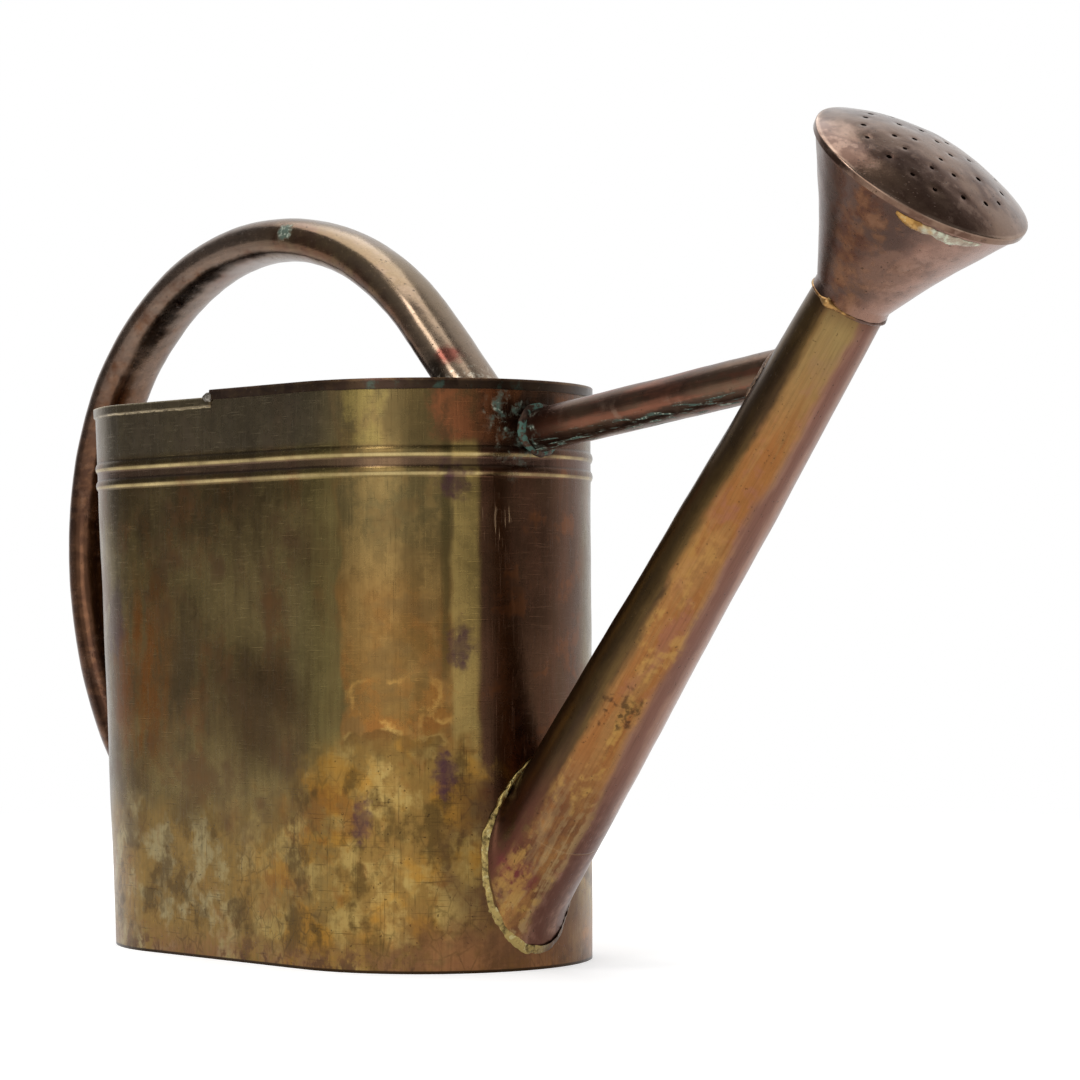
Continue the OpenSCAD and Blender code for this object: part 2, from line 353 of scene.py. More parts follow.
def spout_radius(t):
    return SPOUT_ROOT_R + (SPOUT_NECK_R - SPOUT_ROOT_R) * t / SPOUT_LENGTH


def above_spout(points):
    from_root = points - SPOUT_ROOT
    t = from_root @ ALONG_SPOUT
    away = np.linalg.norm(from_root - t[..., None] * ALONG_SPOUT, axis=-1)
    return away - spout_radius(t)


def above_cover(points):
    return points[..., 2] - COVER_TOP


def reach(starts, direction, surface, near, far):
    """Length along each line at which it crosses the surface, found by halving."""
    low, high = np.full(len(starts), float(near)), np.full(len(starts), float(far))
    sign = np.sign(surface(starts + low[:, None] * direction))
    for _ in range(HALVINGS):
        middle = (low + high) / 2
        same = np.sign(surface(starts + middle[:, None] * direction)) == sign
        low, high = np.where(same, middle, low), np.where(same, high, middle)
    return (low + high) / 2


def surface_normal(surface, points):
    """The way that a surface faces at each point, from its slope along the three axes."""
    step = 0.01
    slopes = [surface(points + step * axis) - surface(points - step * axis) for axis in np.eye(3)]
    return unit(np.stack(slopes, axis=-1))


# %% [markdown]
# ## The spout
# The spout is a cone rolled from one piece of sheet. Its lower end meets the round front of the
# body, where it was hammered out into a small flange, and its upper end slips into the rose. Each
# line of the flange is a curve with three guides: its place on the wall, the sharp corner that it
# rounds off, and the place where it joins the straight cone. Soft dents break up the reflections.

# %% Build the spout
SPOUT_COLUMNS = 112
FLANGE_SHARE = 0.055
FLANGE_WIDEST = math.radians(-46)


def ring_facings(count, first, second):
    """Unit vectors once round the plane of two directions."""
    angles = np.linspace(0, 2 * math.pi, count, endpoint=False)
    return np.cos(angles)[:, None] * first + np.sin(angles)[:, None] * second


def spout_side(steps, inwards):
    """One side of the spout's sheet, with each line running from the body to the neck."""
    out = ring_facings(SPOUT_COLUMNS, UNDER_SPOUT, ACROSS)
    to_widest = np.cos(FLANGE_WIDEST) * UNDER_SPOUT + np.sin(FLANGE_WIDEST) * ACROSS
    flange = 0.8 + 4.4 * smooth_step(-0.25, 0.75, out @ to_widest)[:, None]
    root_radius = SPOUT_ROOT_R - inwards
    neck_radius = SPOUT_NECK_R - inwards
    feet = SPOUT_ROOT + root_radius * out
    lines = (neck_radius - root_radius) * out + SPOUT_LENGTH * ALONG_SPOUT
    start = reach(feet, lines, above_wall, -0.35, 0.5)
    wide_start = reach(feet + flange * out, lines, above_wall, -0.4, 0.5)
    share = start[:, None] + (1 - start[:, None]) * steps
    points = feet[:, None] + share[..., None] * lines[:, None]
    on_the_wall = feet + flange * out + wide_start[:, None] * lines
    joined = steps < FLANGE_SHARE
    corner, end = points[:, 0], points[:, joined.sum()]
    t = (steps[joined] / steps[joined.sum()])[:, None]
    curve = (1 - t)**2 * on_the_wall[:, None] + 2 * t * (1 - t) * corner[:, None] + t**2 * end[:, None]
    points[:, joined] = curve
    free = np.sin(math.pi * np.clip(steps, 0, 1)) ** 0.5
    push = free * (0.45 * waves(points, 45, 3) + 0.22 * waves(points, 17, 4))
    return points + push[..., None] * out[:, None]


spout_steps = spread(0, (FLANGE_SHARE, 0.005), (1, 0.009))
outside = spout_side(spout_steps, 0)
inside = spout_side(spout_steps[::3], SHEET)
spout_root_ring = outside[:, 0]
spout = rolled("spout_sheet", outside, inside)
print("spout:", len(spout.data.polygons), "faces")

# %% [markdown]
# ## The hole behind the spout
# Water reaches the spout through a hole in the wall, which shows from above through the mouth. The
# wall is already a closed sheet, so here a boolean with a cone a little smaller than the spout is
# the simplest way, and its cut edge is hidden between the wall and the spout.

# %% Cut the wall for the spout


def cut(piece, cutter):
    """Takes the cutter away from the piece for good, and removes the cutter."""
    tool = piece.modifiers.new("cut", "BOOLEAN")
    tool.object = cutter
    tool.solver = "EXACT"
    bpy.context.view_layer.update()
    result = piece.evaluated_get(bpy.context.evaluated_depsgraph_get())
    mesh = bpy.data.meshes.new_from_object(result)
    piece.modifiers.remove(tool)
    old, piece.data = piece.data, mesh
    mesh.name = old.name
    bpy.data.meshes.remove(old)
    bpy.data.objects.remove(cutter)
    clean(piece, 55)


def plug(name, out, start, end, radius_start, radius_end):
    """A closed tapered rod between two points."""
    grid = np.stack([start + radius_start * out, end + radius_end * out])
    return swept(name, grid, ring=False)


hole_facings = ring_facings(72, UNDER_SPOUT, ACROSS)
hole_start, hole_end = -70, 60
cutter = plug("spout_hole", hole_facings, SPOUT_ROOT + hole_start * ALONG_SPOUT,
              SPOUT_ROOT + hole_end * ALONG_SPOUT,
              spout_radius(hole_start) - SHEET, spout_radius(hole_end) - SHEET)
cut(wall, cutter)
print("wall after the cut:", len(wall.data.polygons), "faces")

# %% [markdown]
# ## The base plate
# The bottom is a plate with its edge turned up and soldered inside the wall. From the outside only
# its underside shows, and from above its dirty floor shows at the bottom of the can. The plate is
# the wall's plan drawn in towards a line along the middle, which keeps its points evenly spread.

# %% Build the base plate


def plate_grid(rows):
    """Points of the foot's plan from (share of the way out, offset, height) rows."""
    foot = plan + lean_share[:, None] * np.array([FOOT_SETBACK, 0])
    back, front = -FRONT_X + FOOT_SETBACK, FRONT_X
    middle = np.stack([np.clip(foot[:, 0], back, front), np.zeros(len(foot))], axis=1)
    rings = []
    for share, offset, z in rows:
        flat = middle + share * (foot + offset * facing - middle)
        rings.append(np.column_stack([flat, np.full(len(flat), z)]))
    return np.stack(rings, axis=1)


floor_shares = np.linspace(0, 0.97, 26)
edge_out, edge_in = -SHEET - HAIR, -2 * SHEET
under = [(share, 0, 0) for share in floor_shares]
turned_up = [(1, edge_out, 0.3), (1, edge_out, BASE_EDGE), (1, edge_in, BASE_EDGE), (1, edge_in, 2)]
over = [(share, 0, SHEET) for share in floor_shares[::-1]]
grid = plate_grid([*under, *turned_up, *over])
sag = 0.5 * (1 + waves(grid, 40, 5)) * (grid[..., 2] > 0) * (grid[..., 2] < 1)
grid[..., 2] += sag
base = swept("base_plate_sheet", grid)
print("base:", len(base.data.polygons), "faces")

# %% [markdown]
# ## The front cover
# A flat piece closes the front half of the mouth, so that water doesn't slop over when the can is
# tipped. Its round edge is turned down outside the wall, and its straight edge has a lip turned
# down inside. The plate isn't quite flat: it sags a little and is gently uneven.

# %% Build the front cover
COVER_EDGE, COVER_LIP = 5.0, 7.0
CORE = np.array([0.35 * FRONT_X, 0.0])


def cover_outline(radius):
    """The D-shaped edge of the cover, and how much of each point's edge is turned down."""
    arc = np.linspace(-math.pi / 2, math.pi / 2, 120)
    sides = spread(0, (FRONT_X, 2.4))[:-1]
    straight = np.linspace(1, -1, 60)[1:-1] * radius
    near = [(x, -radius) for x in sides]
    round_end = [(FRONT_X + radius * math.cos(a), radius * math.sin(a)) for a in arc]
    far = [(x, radius) for x in sides[::-1]]
    back = [(0.0, y) for y in straight]
    turned = [1.0] * (len(near) + len(round_end) + len(far)) + [0.0] * len(back)
    return np.array(near + round_end + far + back), np.array(turned)


edge, turned = cover_outline(END_R + SHEET)
inner_edge, _ = cover_outline(END_R + HAIR)
under_edge = np.where(turned[:, None] > 0, inner_edge, edge)
skirt = COVER_EDGE + 0.25 * waves(np.column_stack([edge, np.zeros(len(edge))]), 11, 6)
depth = np.where(turned > 0, skirt, SHEET)


def level(drop):
    """The same height all round the edge, this far under the cover's top."""
    return np.full(len(edge), COVER_TOP - drop)


CREASE_IN, CREASE_DOWN = 0.3, 0.35
shares = np.linspace(0, 1, 30)[:-1]
layers = [(CORE + share * (edge - CORE), level(0)) for share in shares]
layers += [(edge + CREASE_IN * unit(CORE - edge), level(0)), (edge, level(CREASE_DOWN)),
           (edge, COVER_TOP - depth), (under_edge, COVER_TOP - depth), (under_edge, level(SHEET))]
layers += [(CORE + share * (edge - CORE), level(SHEET)) for share in shares[::-1]]
grid = np.stack([np.column_stack([flat, z]) for flat, z in layers], axis=1)
from_edge = END_R - np.hypot(np.clip(grid[..., 0] - FRONT_X, 0, None), grid[..., 1])
inside_edge = smooth_step(0, 20, from_edge)
grid[..., 2] += inside_edge * (0.5 * waves(grid, 38, 7) - 0.35)
cover = swept("front_cover_sheet", grid)

lip_half = END_R - 2 * SHEET
lip_y = np.linspace(-lip_half, lip_half, 60)
LIP_START, LIP_TOP, LIP_BOW = 0.02, COVER_TOP - 0.4, 0.2
lip_foot = COVER_TOP - COVER_LIP
lip_section = [(LIP_START, LIP_TOP), (LIP_START, lip_foot), (SHEET, lip_foot), (SHEET, LIP_TOP)]
lip_grid = np.array([[(x, y, z) for x, z in lip_section] for y in lip_y])
lip_grid[..., 0] += LIP_BOW * np.sin(math.pi * lip_y / lip_half / 2 + 1)[:, None]
lip_piece = swept("cover_lip", lip_grid, ring=False)


def join(whole, *others):
    """Adds the meshes of the other pieces to the first, and removes them."""
    work = bmesh.new()
    work.from_mesh(whole.data)
    for other in others:
        work.from_mesh(other.data)
        bpy.data.objects.remove(other)
    work.to_mesh(whole.data)
    work.free()
    clean(whole)


join(cover, lip_piece)
print("cover:", len(cover.data.polygons), "faces")

# %% [markdown]
# ## The handle
# The handle is an oval copper tube, bent by hand over a former: straight where it leaves the cover,
# then three arcs of slightly different radius down to the back of the wall. The inside of the
# bend was hammered to take up the metal, so its facets are deepest there. A curve object with a
# bevel could carry the oval, but its ends would then be square and its surface perfect. Both ends
# run on a little past the surface that they meet.

# %% The handle's path
HANDLE_START = np.array([110.6, 262.0])
HANDLE_HEADING = 133.5
HANDLE_LEAD = 59.4
HANDLE_ARCS = [(161.0, 93.6), (137.0, 30.9), (181.1, 54.6)]
HANDLE_HALF_THICK, HANDLE_HALF_WIDE = 10.8, 15.8
HANDLE_STEP = 2.0
OVAL_POWER = 0.86


def handle_path():
    """Places and headings along the hoop, from the end of its straight start."""
    heading = math.radians(HANDLE_HEADING)
    place = HANDLE_START + HANDLE_LEAD * np.array([math.cos(heading), math.sin(heading)])
    places, headings = [place], [heading]
    for radius, turn in HANDLE_ARCS:
        centre = place + radius * np.array([-math.sin(heading), math.cos(heading)])
        steps = round(radius * math.radians(turn) / HANDLE_STEP)
        for i in range(1, steps + 1):
            now = heading + math.radians(turn) * i / steps
            places.append(centre + radius * np.array([math.sin(now), -math.cos(now)]))
            headings.append(now)
        place, heading = places[-1], headings[-1]
    return np.array(places), np.array(headings)


hoop, hoop_heading = handle_path()
OVAL_COLUMNS = 80
oval_angle = np.linspace(0, 2 * math.pi, OVAL_COLUMNS, endpoint=False)


def squircle(values):
    """Fills out the flanks of the oval, which is a little fuller than an ellipse."""
    return np.sign(values) * np.abs(values) ** OVAL_POWER


def oval_at(place, heading):
    """Section points and outward facings of the tube at one place of its path."""
    inner = np.array([-math.sin(heading), 0, math.cos(heading)])
    along_inner = HANDLE_HALF_THICK * squircle(np.cos(oval_angle))
    along_y = HANDLE_HALF_WIDE * squircle(np.sin(oval_angle))
    centre = np.array([place[0], 0, place[1]])
    points = centre + along_inner[:, None] * inner + along_y[:, None] * ACROSS
    out = unit((np.cos(oval_angle) / HANDLE_HALF_THICK)[:, None] * inner
               + (np.sin(oval_angle) / HANDLE_HALF_WIDE)[:, None] * ACROSS)
    return points, out


def heading_vector(heading):
    return np.array([math.cos(heading), 0, math.sin(heading)])


# %% Build the handle
first, first_out = oval_at(hoop[0], hoop_heading[0])
last, last_out = oval_at(hoop[-1], hoop_heading[-1])
to_cover, to_wall = -heading_vector(hoop_heading[0]), heading_vector(hoop_heading[-1])
down = reach(first, to_cover, above_cover, 0, 90)
inwards = reach(last, to_wall, above_wall, -20, 90)
foot_ring = first + down[:, None] * to_cover
wall_ring = last + inwards[:, None] * to_wall
PAST_COVER, PAST_WALL = 1.02, 0.5
FACET, FACET_DEPTH = 8.5, 0.45
lead_shares = np.linspace(PAST_COVER, 0, 24)[:-1]
tail_shares = np.linspace(0, 1, 12)[1:]
rings = [first + share * down[:, None] * to_cover for share in lead_shares]
outs = [first_out] * len(rings)
for place, heading in zip(hoop, hoop_heading):
    points, out = oval_at(place, heading)
    rings.append(points)
    outs.append(out)
rings += [last + share * (inwards[:, None] + PAST_WALL) * to_wall for share in tail_shares]
outs += [last_out] * len(tail_shares)
grid, outs = np.stack(rings), np.stack(outs)
inner_side = smooth_step(-0.4, 0.8, np.cos(oval_angle))[None, :]
worked = inner_side * smooth_step(120, 210, grid[..., 2]) * (0.6 + 0.4 * waves(grid, 50, 21))
dents = (0.28 * waves(grid, 30, 22) + 0.1 * waves(grid, 10, 23)
         - FACET_DEPTH * worked * hammered(grid, FACET, 24) ** 2)
settle = smooth_step(0, 14, np.arange(len(grid)))[:, None]
grid = grid + (dents * settle)[..., None] * outs
handle = swept("handle_tube_bent", grid, ring=False)
print("handle:", len(handle.data.polygons), "faces, rising to", round(grid[..., 2].max(), 1))

# %% [markdown]
# ## The brace
# A short straight tube ties the spout to the body, just under the rim. Both of its ends are found
# in the same way as the others: one on the wall, and one on the spout.

# %% Build the brace
BRACE_COLUMNS = 72
brace_out = ring_facings(BRACE_COLUMNS, np.cross(ACROSS, ALONG_BRACE), ACROSS)


def brace_side(inwards, steps):
    """One side of the brace's sheet, with each line running from the body to the spout."""
    lines = BRACE_ROOT + (BRACE_R - inwards) * brace_out
    start = reach(lines, ALONG_BRACE, above_wall, -25, 25)
    end = reach(lines, ALONG_BRACE, above_spout, 40, 170)
    lengths = start[:, None] + (end - start)[:, None] * steps
    points = lines[:, None] + lengths[..., None] * ALONG_BRACE
    push = np.sin(math.pi * steps) ** 0.5 * (0.3 * waves(points, 30, 31) + 0.15 * waves(points, 10, 32))
    return points + push[..., None] * brace_out[:, None]


outside = brace_side(0, np.linspace(0, 1, 70))
inside = brace_side(SHEET, np.linspace(0, 1, 12))
brace_wall_ring, brace_spout_ring = outside[:, 0], outside[:, -1]
brace = rolled("brace_tube_sheet", outside, inside)
print("brace:", len(brace.data.polygons), "faces")

# %% [markdown]
# ## The rose
# The rose is a hand-raised cone of copper with a domed face pushed over its rim. The face has three
# rings of punched holes. They were spaced by eye, so each hole wanders a little, and the punch has
# left a shallow dimple round each one. The dimples are part of the mesh, and then a boolean with
# small rods opens the holes.

# %% Build the cone of the rose
ROSE_COLUMNS = 144
rose_out = ring_facings(ROSE_COLUMNS, UNDER_SPOUT, ACROSS)
ROSE_FLARE = 0.12


def rose_point(along, radius):
    """Points once round the rose, at one length past the neck and one radius."""
    return NECK + along * ALONG_SPOUT + radius * rose_out


def cone_radius(share):
    """The cone is a little narrower than a straight one halfway, which makes it flare."""
    wide, narrow = ROSE_R - SHEET, SPOUT_NECK_R + SHEET
    return narrow + (wide - narrow) * (share + ROSE_FLARE * (share * share - share))


def cone_side(inwards, steps):
    """One side of the cone's sheet, from its collar on the spout to its rim under the face."""
    rows = [rose_point(-ROSE_COLLAR, spout_radius(SPOUT_LENGTH - ROSE_COLLAR) + SHEET - inwards + 0.02)]
    rows += [rose_point(share * ROSE_LENGTH, cone_radius(share) - inwards) for share in steps]
    rows += [rose_point(ROSE_LENGTH + ROSE_EDGE, ROSE_R - SHEET - inwards)]
    points = np.stack(rows, axis=1)
    free = np.concatenate([[0], np.sin(math.pi * np.clip(steps, 0, 1)), [0]])
    push = free * (0.55 * waves(points, 28, 41) + 0.25 * waves(points, 11, 42))
    return points + push[..., None] * rose_out[:, None]


cone = rolled("rose_cone_sheet", cone_side(0, np.linspace(0, 1, 46)), cone_side(SHEET, np.linspace(0, 1, 20)))
print("cone:", len(cone.data.polygons), "faces")

# %% Place the holes
HOLE_R = 1.15
HOLE_RINGS = [(0.18, 4), (0.41, 9), (0.66, 16)]
wander = random.Random(5)


def hole_places():
    """Places of the holes on the face: along the underside and across the can."""
    places = []
    for share, count in HOLE_RINGS:
        turn = wander.uniform(0, 2 * math.pi)
        for i in range(count):
            angle = turn + 2 * math.pi * (i + wander.uniform(-0.22, 0.22)) / count
            radius = ROSE_R * (share + wander.uniform(-0.035, 0.035))
            places.append((radius * math.cos(angle), radius * math.sin(angle)))
    return np.array(places)


holes = hole_places()
print(len(holes), "holes in the rose")

# %% Build the face of the rose
DOME_SPHERE = (ROSE_R**2 + ROSE_DOME**2) / (2 * ROSE_DOME)
FACE_ALONG = ROSE_LENGTH + ROSE_EDGE
DIMPLE, DIMPLE_R = 0.32, 2.0


def dome_rise(radius):
    """Height of the dome over its rim, at one radius."""
    return np.sqrt(DOME_SPHERE**2 - radius**2) - (DOME_SPHERE - ROSE_DOME)


def face_layer(radii, drop):
    """Rings of the dome, each with its dimples and dents, lowered by drop."""
    angles = np.linspace(0, 2 * math.pi, ROSE_COLUMNS, endpoint=False)
    rows = []
    for radius in radii:
        under, side = radius * np.cos(angles), radius * np.sin(angles)
        gap = np.hypot(under[:, None] - holes[:, 0], side[:, None] - holes[:, 1]).min(axis=1)
        dimple = DIMPLE * np.exp(-(gap / DIMPLE_R) ** 2)
        flat = np.column_stack([under, side, np.zeros(len(under))])
        dent = 0.5 * waves(flat, 21, 43) + 0.17 * waves(flat, 9, 44)
        rise = dome_rise(radius) - drop - dimple + dent * smooth_step(0, 12, ROSE_R - radius)
        rows.append(rose_point(0, radius) + (FACE_ALONG + rise)[:, None] * ALONG_SPOUT)
    return rows


outer = face_layer(np.linspace(0, ROSE_R - 0.4, 52), 0)
rim_in = ROSE_R - SHEET + HAIR
turned_rim = [(0.1, ROSE_R + 0.15), (0.8, ROSE_R + 0.25), (ROSE_EDGE, ROSE_R), (ROSE_EDGE, rim_in),
              (0.6, rim_in)]
rim = [rose_point(FACE_ALONG - down, radius) for down, radius in turned_rim]
inner = face_layer(np.linspace(ROSE_R - 3, 0, 40), SHEET)
face = swept("rose_face_sheet", np.stack([*outer, *rim, *inner], axis=1))


PUNCH_SIDES, PUNCH_FROM, PUNCH_TO = 20, -4, 20


def punch(place):
    """One rod through the face at a hole."""
    centre = NECK + FACE_ALONG * ALONG_SPOUT + place[0] * UNDER_SPOUT + place[1] * ACROSS
    start, end = (centre + along * ALONG_SPOUT for along in (PUNCH_FROM, PUNCH_TO))
    radius = HOLE_R * wander.uniform(0.9, 1.12)
    return plug("punch", ring_facings(PUNCH_SIDES, UNDER_SPOUT, ACROSS), start, end, radius, radius)


punches = [punch(place) for place in holes]
join(punches[0], *punches[1:])
cut(face, punches[0])
print("face:", len(face.data.polygons), "faces")

# %% [markdown]
# ## Solder
# Each joint was filled with soft solder or brass spelter, run in by hand and never cleaned up. A
# fillet between a tube and a sheet has two ways to run: out over the sheet, and up along the tube.
# So a fillet is a closed section in those two directions, carried round the joint's own points,
# with its width and its bulge changed by noise.

# %% Fillet helper
DIG_OUT, DIG_UP, SINK = 1.2, 0.5, 0.15


def finer(ring, times):
    """Puts more points between those of a closed ring, evenly."""
    shares = np.arange(len(ring) * times) / times
    before = np.floor(shares).astype(int)
    part = (shares - before)[:, None]
    return ring[before] * (1 - part) + ring[(before + 1) % len(ring)] * part


def fillet(name, ring, tube_out, tube_way, surface, width, height, seed, lumps=0.35, times=4):
    """A lumpy run of solder in the corner where a tube meets a surface."""
    joint, tube_out = finer(ring, times), unit(finer(tube_out, times))
    normal = surface_normal(surface, joint)
    out = unit(tube_out - (tube_out * normal).sum(-1, keepdims=True) * normal)
    up = unit(tube_way - (tube_way * tube_out).sum(-1, keepdims=True) * tube_out)
    run_out = width * (1 + lumps * (waves(joint, 13, seed) + 0.7 * waves(joint, 4.5, seed + 1)))
    run_up = height * (1 + lumps * (waves(joint, 9, seed + 2) + 0.6 * waves(joint, 3.5, seed + 3)))
    section = [joint - DIG_OUT * out - DIG_UP * up]
    for a in np.linspace(0, math.pi / 2, 11):
        section.append(joint + (run_out * math.cos(a))[:, None] * out + (run_up * math.sin(a))[:, None] * up
                       - SINK * math.cos(a) * normal - SINK * math.sin(a) * tube_out)
    grid = np.stack(section, axis=1)
    bulge = lumps * 0.9 * waves(grid, 3.2, seed + 4) + lumps * 0.5 * waves(grid, 1.6, seed + 5)
    bulge[:, 0] = 0
    grid = grid + bulge[..., None] * unit(normal + tube_out)[:, None]
    return swept(name, grid, sharp=60)


# %% Solder round the tubes
spout_out = ring_facings(SPOUT_COLUMNS, UNDER_SPOUT, ACROSS)
wide_side = 0.6 + 0.5 * smooth_step(0.5, -0.3, unit(finer(spout_out, 4))[:, 1])
root_solder = fillet("spout_root_solder_run", spout_root_ring, spout_out, ALONG_SPOUT, above_wall,
                     2.1 * wide_side, 2.4 * wide_side, 51, 0.5)
brace_body_solder = fillet("brace_body_solder_run", brace_wall_ring, brace_out, ALONG_BRACE, above_wall,
                           2.6, 2.2, 61, times=3)
brace_spout_solder = fillet("brace_spout_solder_run", brace_spout_ring, brace_out, -ALONG_BRACE, above_spout,
                            2.8, 2.2, 71, times=3)
handle_front_solder = fillet("handle_front_solder_run", foot_ring, first_out, -to_cover, above_cover,
                             3.0, 2.2, 81, 0.4)
handle_back_solder = fillet("handle_back_solder_run", wall_ring, last_out, -to_wall, above_wall, 3.0, 2.4, 91)
print("five fillets of solder")

# %% [markdown]
# The rose is held by a round bead at its neck, with a drop where the iron was lifted off, and by
# a short run under its rim on the near side. Both are bars of round section that change thickness
# along the way. The cover's corners each have one lump.

# %% Solder of the rose and the cover


def bar(name, centres, first, second, radii, seed, ring):
    """A round bar of solder along the centres, whose section lies in two directions."""
    angles = np.linspace(0, 2 * math.pi, 14, endpoint=False)
    section = [centres + (radii * math.cos(a))[:, None] * first + (radii * math.sin(a))[:, None] * second
               for a in angles]
    grid = np.stack(section, axis=1)
    centre = centres[:, None]
    swell = 1 + 0.22 * waves(grid, 3.5, seed) + 0.1 * waves(grid, 1.7, seed + 1)
    return swept(name, centre + (grid - centre) * swell[..., None], ring=ring, sharp=60)


BEAD_POINTS, RUN_POINTS = 300, 90
DROP_ANGLE, DROP_SPREAD = -1.35, 0.16
ring_out = ring_facings(BEAD_POINTS, UNDER_SPOUT, ACROSS)
ring_angle = np.linspace(0, 2 * math.pi, BEAD_POINTS, endpoint=False)
bead_centres = NECK - ROSE_COLLAR * ALONG_SPOUT + (SPOUT_NECK_R + SHEET * 0.6) * ring_out
from_drop = np.angle(np.exp(1j * (ring_angle - DROP_ANGLE)))
drop = np.exp(-(from_drop / DROP_SPREAD) ** 2)
neck_radii = 0.95 + 0.3 * waves(bead_centres, 12, 101) + 1.1 * drop
neck_solder = bar("rose_neck_solder_bead", bead_centres, ring_out, ALONG_SPOUT, neck_radii, 102, True)

RUN_FROM, RUN_TO = math.radians(-54), math.radians(-4)
run_angle = np.linspace(RUN_FROM, RUN_TO, RUN_POINTS)
run_out = np.cos(run_angle)[:, None] * UNDER_SPOUT + np.sin(run_angle)[:, None] * ACROSS
run_share = np.linspace(0.02, 0.98, RUN_POINTS)
run_ends = np.sin(math.pi * run_share) ** 0.4
run_radii = (2.7 + 0.8 * waves(run_out * ROSE_R, 8, 103)) * run_ends * (1.25 - 0.5 * run_share)
down_cone = unit(ALONG_SPOUT + 0.5 * run_out)
rim_edge = NECK + ROSE_LENGTH * ALONG_SPOUT + (ROSE_R - SHEET - 0.2) * run_out
run_centres = rim_edge - (run_radii[:, None] + 1.6) * down_cone
off_cone = np.cross(down_cone, np.cross(run_out, down_cone))
rim_solder = bar("rose_rim_solder_run", run_centres, 0.36 * off_cone, down_cone, run_radii, 104, False)


def lump(name, centre, size, squeeze, seed):
    """One blob of solder, pressed flat along the can's width."""
    work = bmesh.new()
    bmesh.ops.create_icosphere(work, subdivisions=4, radius=1)
    points = np.array([v.co for v in work.verts])
    faces = [tuple(v.index for v in f.verts) for f in work.faces]
    work.free()
    swell = 1 + 0.3 * waves(points, 0.9, seed) + 0.12 * waves(points, 0.35, seed + 1)
    return link_mesh(name, centre + size * points * swell[:, None] * squeeze, faces, 60)


lumps = [lump("cover_solder_lumps", np.array([-1.6, side * (END_R + 0.4), BODY_HEIGHT - 0.4]), 2.5,
              np.array([1.4, 0.5, 0.95]), 111 + side) for side in (-1, 1)]
join(*lumps)
cover_solder = lumps[0]
print("solder of the rose and the cover")

# %% [markdown]
# ## Writing a finish as arithmetic
# A tarnished surface is a sum of many small causes: where hands rub, where water dried, where heat
# turned the metal red. That is easiest to write as arithmetic on masks. So one small class wraps
# an output of a shader node, and adding, taking away or multiplying it adds the Math node that does
# it. Every other node comes from one method of the finish being made.

# %% Shader helpers


class Wire:
    """An output of a shader node that can be used in Python arithmetic."""

    def __init__(self, finish, socket):
        self.finish, self.socket = finish, socket

    def math(self, operation, *others, clamp=False):
        sockets = dict(enumerate([self, *others]))
        return self.finish.node("Math", {"operation": operation, "use_clamp": clamp}, sockets)

    def __add__(self, other):
        return self.math("ADD", other)

    def __sub__(self, other):
        return self.math("SUBTRACT", other)

    def __mul__(self, other):
        return self.math("MULTIPLY", other)

    def __rsub__(self, other):
        return self.finish.node("Math", {"operation": "SUBTRACT"}, {0: other, 1: self})

    __radd__, __rmul__ = __add__, __mul__

    def clip(self):
        return self.math("ADD", 0.0, clamp=True)

    def between(self, low, high):
        """0 below low, 1 above high and smooth in between. Low may be the larger number."""
        sockets = {"Value": self, "From Min": low, "From Max": high, "To Min": 0.0, "To Max": 1.0}
        return self.finish.node("MapRange", {"interpolation_type": "SMOOTHSTEP"}, sockets)

    def highest(self, *others):
        """The largest of this mask and the others."""
        top = self
        for other in others:
            top = top.math("MAXIMUM", other)
        return top


